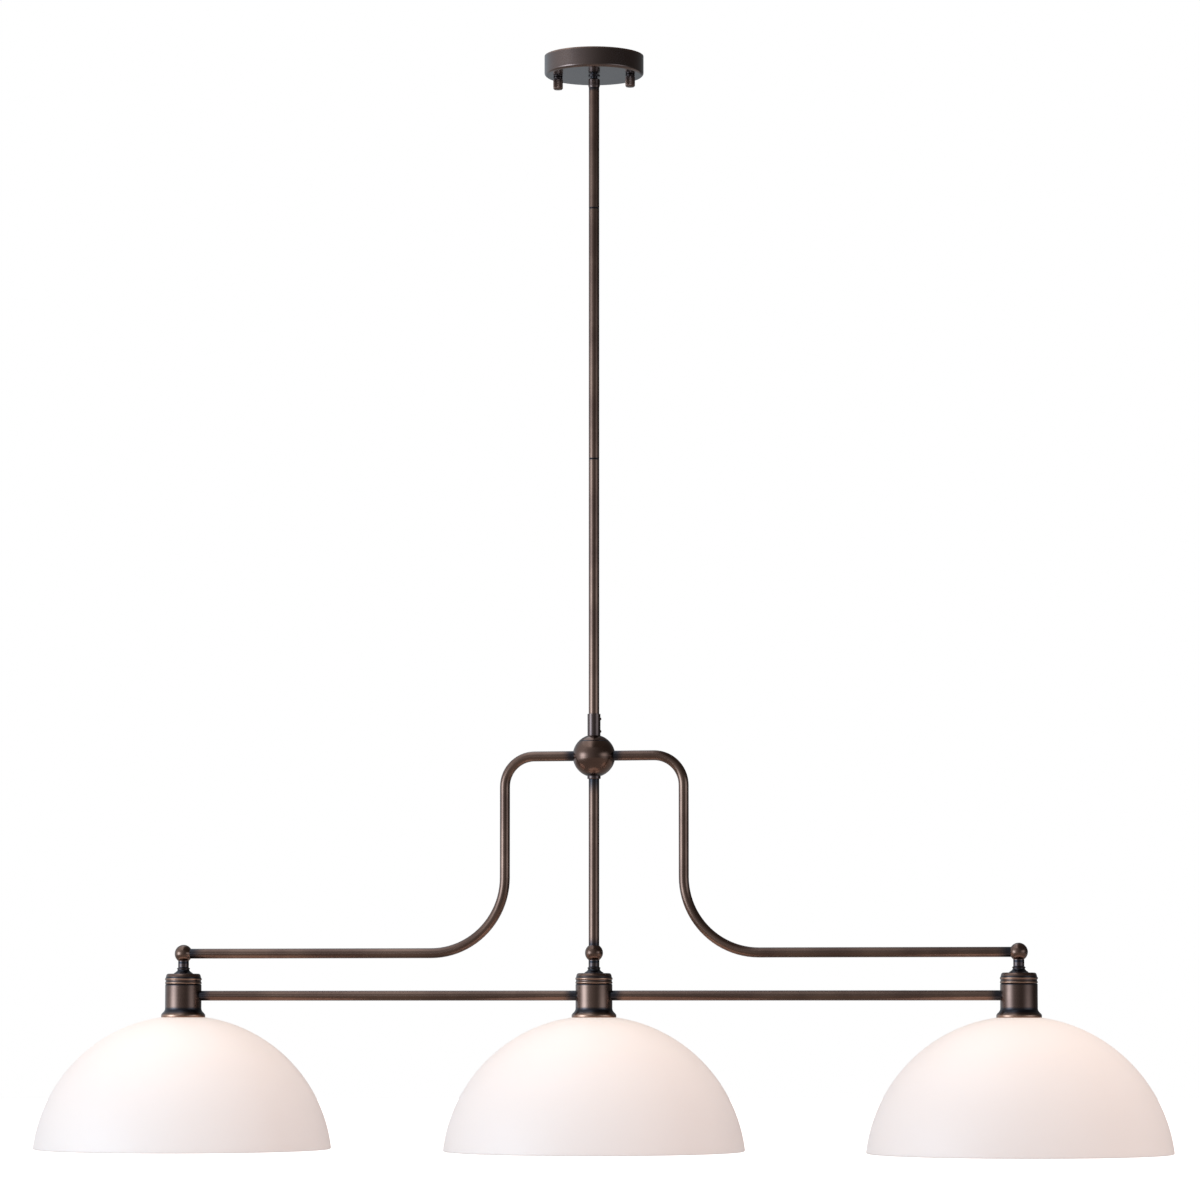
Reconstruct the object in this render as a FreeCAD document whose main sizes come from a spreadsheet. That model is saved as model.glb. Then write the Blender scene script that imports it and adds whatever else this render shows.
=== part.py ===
import FreeCAD, Part
import math
import os
import re
import Sketcher
from FreeCAD import Placement, Rotation, Vector

# A linear island pendant: three opal glass domes on a bronze frame, hung by a jointed stem.
# Millimetres. The origin is on the stem's axis where the canopy meets the ceiling.
# +Z is up, +X runs along the bar to the right, and -Y faces the viewer.

# Driving sizes
SIZES = {
    # Canopy
    "canopy_radius": 60.0,
    "canopy_height": 24.0,
    "canopy_wall": 1.2,
    "canopy_edge": 3.5,
    # Crossbar: two straps riveted together
    "strap_length": 104.0,
    "strap_width": 16.0,
    "strap_thickness": 1.6,
    "box_screw_spacing": 88.9,
    "box_slot_width": 4.8,
    "box_slot_length": 14.0,
    "rivet_radius": 4.5,
    "rivet_bore": 3.0,
    "rivet_head": 6.5,
    "rivet_head_height": 1.0,
    "ground_screw_place": 32.0,
    "ground_screw_radius": 1.9,
    "ground_screw_head": 3.8,
    "ground_screw_head_height": 2.2,
    # Studs that carry the canopy, and their knurled cap nuts
    "stud_spacing": 88.9,
    "stud_radius": 2.05,
    "stud_head_radius": 3.6,
    "stud_head_height": 1.4,
    "stud_reach": 12.0,
    "stud_nut_flats": 7.0,
    "stud_nut_height": 3.0,
    "stud_hole_gap": 0.5,
    "cap_nut_radius": 5.85,
    "cap_nut_height": 15.0,
    "cap_nut_bevel": 0.6,
    "cap_nut_end": 2.4,
    # Hang-straight swivel
    "collar_radius": 7.1,
    "shoulder_height": 1.2,
    "swivel_room": 6.0,
    "barrel_top": 3.5,
    "barrel_straight": 4.8,
    "barrel_taper": 2.5,
    "barrel_wall": 1.1,
    "barrel_bevel": 1.0,
    "tongue_radius": 4.1,
    "tongue_reach": 3.0,
    "boss_radius": 2.3,
    "boss_half_length": 5.3,
    "pin_radius": 1.5,
    "pin_engagement": 1.8,
    "yoke_bore": 3.2,
    "yoke_rise": 7.0,
    "washer_radius": 9.0,
    "washer_thickness": 1.0,
    "swivel_nut_flats": 14.0,
    "swivel_nut_height": 4.5,
    # Pipe thread that joins stem, hub and sockets
    "nipple_radius": 5.1,
    "nipple_bore": 3.2,
    "nipple_engagement": 14.0,
    # Stem
    "rod_radius": 6.35,
    "rod_wall": 1.05,
    "rod_bevel": 0.4,
    "rod_short": 147.5,
    "rod_long": 304.8,
    "rod_exposed": 307.7,
    "rod_in_sleeve": 18.4,
    # Hub
    "sleeve_radius": 7.8,
    "sleeve_height": 26.0,
    "sleeve_floor": 7.2,
    "set_screw_radius": 1.5,
    "set_screw_proud": 1.0,
    "set_screw_low": 5.0,
    "set_screw_high": 20.0,
    "hub_radius": 25.5,
    "hub_wall": 2.0,
    "seam_height": 17.6,
    "seam_notch": 0.35,
    "lip_height": 4.0,
    "lip_thickness": 1.7,
    "hub_ring_radius": 8.0,
    "hub_ring_height": 3.4,
    "hub_nut_flats": 16.0,
    "hub_nut_height": 3.5,
    "splice_length": 20.0,
    "splice_depth": 11.0,
    "splice_height": 16.0,
    "splice_socket": 4.0,
    # Arms and bars
    "arm_radius": 6.0,
    "arm_wall": 1.0,
    "arm_reach": 109.0,
    "arm_drop": 235.7,
    "upper_bend": 36.0,
    "lower_bend": 90.5,
    "light_spacing": 508.0,
    "bar_radius": 6.0,
    "bar_wall": 1.0,
    "bar_depth": 26.7,
    "bar_nut_flats": 16.0,
    "bar_nut_height": 3.0,
    "bar_end_proud": 1.5,
    # Knuckle ball and neck over each cup
    "ball_radius": 10.8,
    "ball_cavity": 7.3,
    "neck_radius": 6.5,
    "neck_height": 8.0,
    "bell_height": 7.6,
    "bell_top_radius": 7.6,
    "bell_waist_radius": 8.0,
    "bell_waist_drop": 2.5,
    "bell_curve": 15.2,
    "bell_bottom_radius": 10.4,
    "bell_foot_radius": 11.3,
    "bell_foot_height": 0.8,
    # Cup cap
    "cap_skirt": 13.2,
    "cap_top_thickness": 1.6,
    "cap_shoulder": 19.0,
    "cap_edge_radius": 20.9,
    "cap_edge_drop": 2.6,
    "cap_slope_radius": 21.6,
    "cap_slope_drop": 5.6,
    "cap_bead_radius": 22.3,
    "cap_bead_drop": 6.8,
    "cap_bead_width": 1.7,
    "cap_groove_radius": 21.7,
    "cap_groove_drop": 9.5,
    "cap_low_bead_drop": 10.9,
    "cap_low_bead_width": 1.4,
    "cap_lip_reach": 4.3,
    "cap_lip_wall": 1.2,
    # Cup body
    "cup_radius": 22.0,
    "cup_wall": 1.1,
    "cup_straight": 27.0,
    "cup_flare_radius": 22.3,
    "cup_flare_drop": 28.6,
    "cove_radius": 24.4,
    "cove_drop": 32.6,
    "cove_curve": 7.6,
    "flange_radius": 26.7,
    "flange_height": 5.0,
    "flange_bevel": 1.0,
    "cup_body_height": 40.2,
    "cup_mouth_radius": 22.0,
    # Socket
    "socket_radius": 19.5,
    "socket_top": 36.0,
    "socket_height": 45.0,
    "socket_round": 2.0,
    "socket_bore": 14.6,
    "socket_floor": 13.0,
    "socket_roof": 6.0,
    "chamber_radius": 9.0,
    "chamber_height": 4.5,
    "shell_radius": 14.4,
    "shell_wall": 0.8,
    "shell_top": 14.6,
    "shell_height": 28.0,
    "contact_stem": 2.1,
    "contact_radius": 5.0,
    "contact_tip_radius": 2.5,
    "contact_thickness": 1.2,
    "contact_bump": 1.3,
    # Shade, its gasket and its ring
    "shade_radius": 180.0,
    "shade_centre_drop": 22.0,
    "shade_glass": 3.5,
    "shade_seat": 4.2,
    "shade_hole": 21.0,
    "rim_round": 1.9,
    "gasket_inner": 21.4,
    "gasket_outer": 27.5,
    "gasket_thickness": 1.0,
    "ring_radius": 27.0,
    "ring_height": 7.5,
    "ring_bevel": 0.8,
    # Bulb
    "bulb_tip_radius": 4.0,
    "bulb_tip_height": 1.8,
    "bulb_shoulder_radius": 9.5,
    "bulb_shoulder_drop": 3.8,
    "bulb_base_radius": 13.1,
    "bulb_base_height": 25.5,
    "bulb_base_wall": 0.5,
    "bulb_base_end_thickness": 1.5,
    "bulb_neck_radius": 12.3,
    "bulb_neck_rise": 4.0,
    "bulb_neck_flare": 2.0,
    "bulb_glass_wall": 1.0,
    "bulb_radius": 30.0,
    "bulb_length": 109.0,
    "bulb_widening": 19.0,
    "bulb_neck_curve": 70.0,
    # Wiring
    "cable_radius": 2.9,
    "core_radius": 1.0,
    "core_offset": 1.5,
    "core_bend": 4.0,
    "core_rise": 2.3,
    "core_reach": 12.5,
    "connector_start": 11.0,
    "connector_radius": 4.3,
    "connector_tip": 2.6,
    "connector_length": 15.5,
    "connector_recess": 6.0,
    "connector_rim": 2.0,
    "cable_turn": 6.0,
    "cable_gap_below_pin": 5.0,
    "cable_gap_above_pin": 1.0,
    # Clearances
    "thread_gap": 0.1,
    "running_gap": 0.05,
    "seat_gap": 0.3,
    # How far a cutter runs past the face it opens
    "cutter_run": 1.0,
}

# Places worked out from the sizes above. Heights count up from the ceiling.
PLACES = {
    "canopy_floor": "-canopy_height + canopy_wall",
    "stud_strap_top": "-strap_thickness",
    "stud_strap_bottom": "-2 * strap_thickness",
    "stud_bottom": "-canopy_height - stud_reach",
    "pin_height": "-canopy_height - shoulder_height - swivel_room",
    "yoke_top": "canopy_floor + yoke_rise",
    "barrel_inner": "collar_radius - barrel_wall",
    "barrel_bottom": "-barrel_straight - barrel_taper",
    "stem_top": "pin_height + barrel_bottom",
    "thread_hole": "nipple_radius + thread_gap",
    "rod_inner": "rod_radius - rod_wall",
    "upper_joint": "stem_top - rod_short",
    "lower_joint": "upper_joint - rod_long",
    "sleeve_top": "lower_joint - rod_exposed",
    "sleeve_bottom": "sleeve_top - sleeve_height",
    "rod_lower_end": "sleeve_top - rod_in_sleeve",
    "hub_seat": "sqrt(hub_radius ^ 2 - sleeve_radius ^ 2)",
    "hub_centre": "sleeve_bottom - hub_seat",
    "hub_inner": "hub_radius - hub_wall",
    "seam_radius": "sqrt(hub_radius ^ 2 - seam_height ^ 2)",
    "seam_inner": "sqrt(hub_inner ^ 2 - seam_height ^ 2)",
    "ring_seat": "sqrt(hub_radius ^ 2 - hub_ring_radius ^ 2)",
    "drop_top": "hub_centre - ring_seat - hub_ring_height",
    "hub_nut_seat": "sqrt(hub_inner ^ 2 - (hub_nut_flats / sqrt(3)) ^ 2) - thread_gap",
    "arm_start": "hub_nut_seat - hub_nut_height - thread_gap",
    "ball_height": "hub_centre - arm_drop",
    "neck_seat": "sqrt(ball_radius ^ 2 - neck_radius ^ 2)",
    "neck_top": "ball_height - neck_seat",
    "cup_top": "neck_top - neck_height - bell_height",
    "cup_inner": "cup_radius - cup_wall",
    "flange_bottom": "cup_top - cap_skirt - cup_body_height",
    "bar_height": "cup_top - bar_depth",
    "bar_nut_seat": "sqrt(cup_inner ^ 2 - (bar_nut_flats / sqrt(3)) ^ 2) - thread_gap",
    "bar_end": "bar_nut_seat - bar_nut_height - bar_end_proud",
    "socket_top_height": "cup_top - socket_top",
    "shade_sphere": "sqrt(shade_radius ^ 2 + shade_centre_drop ^ 2)",
    "shade_height": "sqrt(shade_sphere ^ 2 - flange_radius ^ 2) - shade_centre_drop",
    "shade_inner_sphere": "shade_sphere - shade_glass",
    "shade_inner_rim": "sqrt(shade_inner_sphere ^ 2 - shade_centre_drop ^ 2)",
    "shade_inner_seat": "sqrt(shade_inner_sphere ^ 2 - (shade_height - shade_seat + shade_centre_drop) ^ 2)",
    "gasket_top": "flange_bottom - shade_seat",
    "ring_top": "gasket_top - gasket_thickness - thread_gap",
    "bulb_top": "socket_floor + contact_thickness + contact_bump + seat_gap",
    "bulb_base_end": "bulb_top + bulb_base_height",
    "bulb_bottom": "bulb_top + bulb_length",
    "bulb_centre": "bulb_bottom - bulb_radius",
    "bulb_inner": "bulb_radius - bulb_glass_wall",
    "bulb_wide": "sqrt(bulb_radius ^ 2 - bulb_widening ^ 2)",
    "bulb_wide_inner": "sqrt(bulb_inner ^ 2 - bulb_widening ^ 2)",
    "core_height": "yoke_top + core_rise + core_bend",
}

LIGHTS = {"left": "-light_spacing", "centre": "0", "right": "light_spacing"}
SIDES = {"left": "-1", "right": "1"}
SUPPLY_CORES = 3

doc = FreeCAD.newDocument("island_pendant")
sheet = doc.addObject("Spreadsheet::Sheet", "Sizes")
for row, (alias, size) in enumerate(SIZES.items(), start=1):
    sheet.set(f"A{row}", alias.replace("_", " "))
    sheet.set(f"B{row}", str(size))
    sheet.setAlias(f"B{row}", alias)
doc.recompute()

places = doc.addObject("App::VarSet", "Places")


def linked(rule):
    """Write a rule with each size and place as a reference to its own object."""
    def reference(match):
        word = match.group()
        if word in SIZES:
            return "Sizes." + word
        if word in PLACES:
            return "Places." + word
        return word
    return re.sub(r"[a-z_]+", reference, rule)


def value(rule):
    """The present value of a rule, as a plain number."""
    return float(places.evalExpression(linked(rule)))


for name in PLACES:
    places.addProperty("App::PropertyFloat", name)
for name, rule in PLACES.items():
    places.setExpression(name, linked(rule))
doc.recompute()

nodes = []


def keep(piece, label):
    """Name a finished sub-part and list it for export."""
    piece.Label = label
    nodes.append(piece)
    return piece


def place(piece, x="0", y="0", z="0", turn=None):
    """Put a piece at a place that follows the sizes, turned as given."""
    if turn is not None:
        piece.Placement = Placement(Vector(), turn)
    for axis, rule in (("x", x), ("y", y), ("z", z)):
        if rule != "0":
            piece.setExpression(f"Placement.Base.{axis}", linked(rule))
    return piece


def new_body(name):
    return doc.addObject("PartDesign::Body", name)


def new_sketch(body, plane, name, offset="0"):
    """A sketch on one of the body's own origin planes, lifted along its normal."""
    sketch = body.newObject("Sketcher::SketchObject", name)
    own_plane = [item for item in body.Origin.OriginFeatures if item.Role == plane][0]
    sketch.AttachmentSupport = [(own_plane, "")]
    sketch.MapMode = "FlatFace"
    if offset != "0":
        sketch.setExpression("AttachmentOffset.Base.z", linked(offset))
    return sketch


def bind(sketch, kind, rule, *where):
    """Add a constraint whose size follows a rule."""
    number = sketch.addConstraint(Sketcher.Constraint(kind, *where, value(rule)))
    sketch.setExpression(f"Constraints[{number}]", linked(rule))


def arc_between(start, end, radius, side):
    """The shorter arc from start to end. Side 1 curves left of the way there, -1 right."""
    chord = end - start
    half = chord.Length / 2
    across = Vector(-chord.y, chord.x, 0).normalize()
    centre = (start + end) * 0.5 + across * side * math.sqrt(max(radius ** 2 - half ** 2, 0))
    first, last = (start, end) if side > 0 else (end, start)
    first_angle = math.atan2(first.y - centre.y, first.x - centre.x)
    last_angle = math.atan2(last.y - centre.y, last.x - centre.x)
    return Part.ArcOfCircle(Part.Circle(centre, Vector(0, 0, 1), radius), first_angle, last_angle)


def outline(sketch, corners, closed=True):
    """Draw an outline. A corner is (x, y), or (x, y, radius, side) where an arc leaves it."""
    points = [Vector(value(corner[0]), value(corner[1]), 0) for corner in corners]
    count = len(corners)
    edges = []
    for index in range(count if closed else count - 1):
        corner = corners[index]
        start = points[index]
        end = points[(index + 1) % count]
        if len(corner) == 2:
            edge = sketch.addGeometry(Part.LineSegment(start, end), False)
            edges.append((edge, 1, 2))
        else:
            radius, side = corner[2], corner[3]
            edge = sketch.addGeometry(arc_between(start, end, value(radius), side), False)
            edges.append((edge, 1, 2) if side > 0 else (edge, 2, 1))
    for index, (edge, first, last) in enumerate(edges):
        bind(sketch, "DistanceX", corners[index][0], edge, first)
        bind(sketch, "DistanceY", corners[index][1], edge, first)
        if len(corners[index]) == 4:
            bind(sketch, "Radius", corners[index][2], edge)
        if index + 1 < len(edges):
            after, after_first, _ = edges[index + 1]
            sketch.addConstraint(Sketcher.Constraint("Coincident", edge, last, after, after_first))
    final, _, final_end = edges[-1]
    if closed:
        sketch.addConstraint(Sketcher.Constraint("Coincident", final, final_end, edges[0][0], edges[0][1]))
    else:
        bind(sketch, "DistanceX", corners[-1][0], final, final_end)
        bind(sketch, "DistanceY", corners[-1][1], final, final_end)


def ring(sketch, radius, x="0", y="0"):
    """Draw a circle."""
    centre = Vector(value(x), value(y), 0)
    circle = sketch.addGeometry(Part.Circle(centre, Vector(0, 0, 1), value(radius)), False)
    bind(sketch, "DistanceX", x, circle, 3)
    bind(sketch, "DistanceY", y, circle, 3)
    bind(sketch, "Radius", radius, circle)


def turned(name, corners):
    """A lathe-turned piece: an outline in radius and height, revolved about Z."""
    body = new_body(name)
    sketch = new_sketch(body, "XZ_Plane", name + "_outline")
    outline(sketch, corners)
    turning = body.newObject("PartDesign::Revolution", name + "_turning")
    turning.Profile = sketch
    turning.ReferenceAxis = (sketch, ["V_Axis"])
    turning.Angle = 360
    return body


def tube(name, radius, bore, top, bottom, bevel):
    """A turned tube with bevelled ends."""
    return turned(name, [
        (bore, top),
        (f"{radius} - {bevel}", top),
        (radius, f"{top} - {bevel}"),
        (radius, f"{bottom} + {bevel}"),
        (f"{radius} - {bevel}", bottom),
        (bore, bottom),
    ])


def bent(name, route, start, radius, bore=None):
    """A rod or tube swept along a route in the XZ plane, from a start that faces along X."""
    body = new_body(name)
    path = new_sketch(body, "XZ_Plane", name + "_route")
    outline(path, route, closed=False)
    section = new_sketch(body, "YZ_Plane", name + "_section", start)
    ring(section, radius, "0", route[0][1])
    if bore is not None:
        ring(section, bore, "0", route[0][1])
    sweep = body.newObject("PartDesign::AdditivePipe", name + "_sweep")
    sweep.Profile = section
    sweep.Spine = (path, [f"Edge{number + 1}" for number in range(len(route) - 1)])
    return body


TURNS = {
    "z": Rotation(),
    "x": Rotation(Vector(0, 1, 0), 90),
    "-x": Rotation(Vector(0, 1, 0), -90),
    "y": Rotation(Vector(1, 0, 0), -90),
}


def round_bar(name, radius, length, along="z", x="0", y="0", z="0"):
    """A plain cylinder that starts at its place and runs along an axis."""
    bar = doc.addObject("Part::Cylinder", name)
    bar.setExpression("Radius", linked(radius))
    bar.setExpression("Height", linked(length))
    return place(bar, x, y, z, TURNS[along])


def cut(name, base, tool):
    piece = doc.addObject("Part::Cut", name)
    piece.Base = base
    piece.Tool = tool
    return piece


def joined(name, *pieces):
    piece = doc.addObject("Part::MultiFuse", name)
    piece.Shapes = list(pieces)
    return piece


def group(label, pieces):
    """Like pieces that share one node, as separate solids."""
    bundle = doc.addObject("Part::Compound", label)
    bundle.Links = pieces
    return keep(bundle, label)


def hex_nut(name, flats, height, bore, along="z", x="0", y="0", z="0"):
    """A hexagonal lock nut."""
    blank = doc.addObject("Part::Prism", name + "_blank")
    blank.Polygon = 6
    blank.setExpression("Circumradius", linked(f"{flats} / sqrt(3)"))
    blank.setExpression("Height", linked(height))
    place(blank, x, y, z, TURNS[along])
    return cut(name, blank, round_bar(name + "_thread", bore, height, along, x, y, z))


def strap_sketch(body, name, along_x):
    """The outline of a crossbar strap with its rivet hole."""
    sketch = new_sketch(body, "XY_Plane", name)
    half_length, half_width = "strap_length / 2", "strap_width / 2"
    if along_x:
        reach, side = half_length, half_width
    else:
        reach, side = half_width, half_length
    outline(sketch, [
        (reach, side),
        (f"-{reach}", side),
        (f"-{reach}", f"-{side}"),
        (reach, f"-{side}"),
    ])
    ring(sketch, "rivet_radius + thread_gap")
    return sketch


def pad(body, sketch, name, length, downwards=False):
    feature = body.newObject("PartDesign::Pad", name)
    feature.Profile = sketch
    feature.setExpression("Length", linked(length))
    feature.Reversed = downwards
    return feature


def make_crossbar():
    box_strap = new_body("box_strap")
    sketch = strap_sketch(box_strap, "box_strap_outline", along_x=False)
    inner = "box_slot_length / 2 - box_slot_width / 2"
    half = "box_slot_width / 2"
    for centre in ("box_screw_spacing / 2", "-box_screw_spacing / 2"):
        outline(sketch, [
            (half, f"{centre} - ({inner})"),
            (half, f"{centre} + ({inner})", half, 1),
            ("0", f"{centre} + box_slot_length / 2", half, 1),
            (f"-{half}", f"{centre} + ({inner})"),
            (f"-{half}", f"{centre} - ({inner})", half, 1),
            ("0", f"{centre} - box_slot_length / 2", half, 1),
        ])
    pad(box_strap, sketch, "box_strap_sheet", "strap_thickness", downwards=True)
    keep(box_strap, "box_strap")

    stud_strap = new_body("stud_strap")
    sketch = strap_sketch(stud_strap, "stud_strap_outline", along_x=True)
    for side in SIDES.values():
        ring(sketch, "stud_radius + thread_gap", f"{side} * stud_spacing / 2", "0")
    ring(sketch, "ground_screw_radius + thread_gap", "ground_screw_place", "0")
    pad(stud_strap, sketch, "stud_strap_sheet", "strap_thickness", downwards=True)
    keep(place(stud_strap, z="stud_strap_top"), "stud_strap")

    rivet = turned("strap_rivet", [
        ("rivet_bore", "0"),
        ("rivet_radius", "0"),
        ("rivet_radius", "stud_strap_bottom"),
        ("rivet_head", "stud_strap_bottom"),
        ("rivet_head", "stud_strap_bottom - rivet_head_height"),
        ("rivet_bore", "stud_strap_bottom - rivet_head_height"),
    ])
    keep(rivet, "strap_rivet")

    ground_screw = turned("ground_screw", [
        ("0", "strap_thickness"),
        ("ground_screw_radius", "strap_thickness"),
        ("ground_screw_radius", "0"),
        ("ground_screw_head", "0"),
        ("ground_screw_head", "-ground_screw_head_height"),
        ("0", "-ground_screw_head_height"),
    ])
    keep(place(ground_screw, x="ground_screw_place", z="stud_strap_bottom"), "ground_screw")


def make_canopy():
    studs = []
    lock_nuts = []
    for side, sign in SIDES.items():
        x = f"{sign} * stud_spacing / 2"
        stud = turned("stud_" + side, [
            ("0", "stud_strap_top + stud_head_height"),
            ("stud_head_radius", "stud_strap_top + stud_head_height"),
            ("stud_head_radius", "stud_strap_top"),
            ("stud_radius", "stud_strap_top"),
            ("stud_radius", "stud_bottom"),
            ("0", "stud_bottom"),
        ])
        studs.append(place(stud, x=x))
        lock_nuts.append(hex_nut("stud_nut_" + side, "stud_nut_flats", "stud_nut_height",
                                 "stud_radius + thread_gap", x=x,
                                 z="stud_strap_bottom - stud_nut_height"))
    group("canopy_studs", studs)
    group("stud_lock_nuts", lock_nuts)

    canopy = turned("canopy", [
        ("canopy_radius - canopy_wall", "0"),
        ("canopy_radius", "0"),
        ("canopy_radius", "-canopy_height + canopy_edge", "canopy_edge", -1),
        ("canopy_radius - canopy_edge", "-canopy_height"),
        ("nipple_radius + thread_gap", "-canopy_height"),
        ("nipple_radius + thread_gap", "canopy_floor"),
        ("canopy_radius - canopy_edge", "canopy_floor", "canopy_edge - canopy_wall", 1),
        ("canopy_radius - canopy_wall", "-canopy_height + canopy_edge"),
    ])
    holes = new_sketch(canopy, "XY_Plane", "canopy_stud_holes")
    for sign in SIDES.values():
        ring(holes, "stud_radius + stud_hole_gap", f"{sign} * stud_spacing / 2", "0")
    doc.recompute()
    punching = canopy.newObject("PartDesign::Pocket", "canopy_punching")
    punching.Profile = holes
    punching.Type = "ThroughAll"
    keep(canopy, "canopy")

    for side, sign in SIDES.items():
        cap_nut = turned("cap_nut_" + side, [
            ("stud_radius + running_gap", "0"),
            ("cap_nut_radius - cap_nut_bevel", "0"),
            ("cap_nut_radius", "-cap_nut_bevel"),
            ("cap_nut_radius", "-cap_nut_height + cap_nut_bevel"),
            ("cap_nut_radius - cap_nut_bevel", "-cap_nut_height"),
            ("0", "-cap_nut_height"),
            ("0", "-cap_nut_height + cap_nut_end"),
            ("stud_radius + running_gap", "-cap_nut_height + cap_nut_end"),
        ])
        place(cap_nut, x=f"{sign} * stud_spacing / 2", z="-canopy_height - thread_gap")
        keep(cap_nut, "cap_nut_" + side)


def make_swivel():
    core = turned("yoke_core", [
        ("0", "yoke_top"),
        ("nipple_radius", "yoke_top"),
        ("nipple_radius", "-canopy_height"),
        ("collar_radius", "-canopy_height"),
        ("collar_radius", "-canopy_height - shoulder_height"),
        ("tongue_radius", "-canopy_height - shoulder_height"),
        ("tongue_radius", "pin_height - tongue_reach"),
        ("0", "pin_height - tongue_reach"),
    ])
    boss = round_bar("yoke_boss", "boss_radius", "2 * boss_half_length", "y",
                     y="-boss_half_length", z="pin_height")
    bore = round_bar("yoke_wire_bore", "yoke_bore",
                     "yoke_top - pin_height + tongue_reach + 2 * cutter_run",
                     z="pin_height - tongue_reach - cutter_run")
    pin_hole = round_bar("yoke_pin_hole", "pin_radius + running_gap",
                         "2 * (boss_half_length + cutter_run)", "y",
                         y="-boss_half_length - cutter_run", z="pin_height")
    yoke = cut("swivel_yoke", joined("yoke_blank", core, boss), joined("yoke_holes", bore, pin_hole))
    keep(yoke, "swivel_yoke")

    washer = turned("swivel_washer", [
        ("thread_hole", "0"),
        ("washer_radius", "0"),
        ("washer_radius", "washer_thickness"),
        ("thread_hole", "washer_thickness"),
    ])
    keep(place(washer, z="canopy_floor"), "swivel_washer")
    nut = hex_nut("swivel_nut", "swivel_nut_flats", "swivel_nut_height", "thread_hole",
                  z="canopy_floor + washer_thickness")
    keep(nut, "swivel_nut")

    barrel_blank = turned("barrel_blank", [
        ("barrel_inner", "barrel_top"),
        ("collar_radius - barrel_bevel", "barrel_top"),
        ("collar_radius", "barrel_top - barrel_bevel"),
        ("collar_radius", "-barrel_straight"),
        ("rod_radius", "barrel_bottom"),
        ("thread_hole", "barrel_bottom"),
        ("thread_hole", "-barrel_straight"),
        ("barrel_inner", "-barrel_straight"),
    ])
    place(barrel_blank, z="pin_height")
    cross_hole = round_bar("barrel_pin_hole", "pin_radius", "2 * (collar_radius + cutter_run)", "y",
                           y="-collar_radius - cutter_run", z="pin_height")
    keep(cut("swivel_barrel", barrel_blank, cross_hole), "swivel_barrel")
    pin_length = "collar_radius - boss_half_length + pin_engagement"
    pins = [
        round_bar("pin_front", "pin_radius", pin_length, "y", y="-collar_radius", z="pin_height"),
        round_bar("pin_back", "pin_radius", pin_length, "y",
                  y="boss_half_length - pin_engagement", z="pin_height"),
    ]
    group("swivel_pins", pins)


def make_supply_cable():
    cable = new_body("supply_cable")
    sheath = new_sketch(cable, "XY_Plane", "supply_sheath_section", "pin_height + cable_gap_above_pin")
    ring(sheath, "cable_radius")
    pad(cable, sheath, "supply_sheath", "yoke_top - pin_height - cable_gap_above_pin")
    route = new_sketch(cable, "XZ_Plane", "supply_core_route")
    outline(route, [
        ("core_offset", "yoke_top - core_rise"),
        ("core_offset", "yoke_top + core_rise", "core_bend", -1),
        ("core_offset + core_bend", "core_height"),
        ("core_reach", "core_height"),
    ], closed=False)
    section = new_sketch(cable, "XY_Plane", "supply_core_section", "yoke_top - core_rise")
    ring(section, "core_radius", "core_offset", "0")
    doc.recompute()
    core = cable.newObject("PartDesign::AdditivePipe", "supply_core")
    core.Profile = section
    core.Spine = (route, ["Edge1", "Edge2", "Edge3"])
    doc.recompute()
    cores = cable.newObject("PartDesign::PolarPattern", "supply_cores")
    cores.Originals = [core]
    cores.Axis = ([axis for axis in cable.Origin.OriginFeatures if axis.Role == "Z_Axis"][0], [""])
    cores.Angle = 360
    cores.Occurrences = SUPPLY_CORES
    cable.Tip = cores
    keep(cable, "supply_cable")

    connectors = []
    for index in range(SUPPLY_CORES):
        angle = 360 / SUPPLY_CORES * index
        connector = turned(f"connector_{index + 1}", [
            ("core_radius + thread_gap", "0"),
            ("connector_radius", "0"),
            ("connector_radius", "-connector_rim"),
            ("connector_tip", "-connector_length + connector_tip", "connector_tip", -1),
            ("0", "-connector_length"),
            ("0", "-connector_recess"),
            ("core_radius + thread_gap", "-connector_recess"),
        ])
        outward = Rotation(Vector(0, 0, 1), angle) * Rotation(Vector(0, 1, 0), -90)
        place(connector, x=f"connector_start * cos({angle})", y=f"connector_start * sin({angle})",
              z="core_height", turn=outward)
        connectors.append(connector)
    group("supply_connectors", connectors)


def make_stem():
    joints = {
        "rod_top": ("stem_top", "upper_joint"),
        "rod_middle": ("upper_joint", "lower_joint"),
        "rod_lower": ("lower_joint", "rod_lower_end"),
    }
    for name, (top, bottom) in joints.items():
        keep(tube(name, "rod_radius", "rod_inner", top, bottom, "rod_bevel"), name)
    nipples = []
    for number, joint in enumerate(("stem_top", "upper_joint", "lower_joint"), start=1):
        above = "barrel_taper - thread_gap" if joint == "stem_top" else "nipple_engagement"
        nipples.append(tube(f"rod_nipple_{number}", "nipple_radius", "nipple_bore",
                            f"{joint} + {above}", f"{joint} - nipple_engagement", "rod_bevel"))
    group("rod_nipples", nipples)


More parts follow.
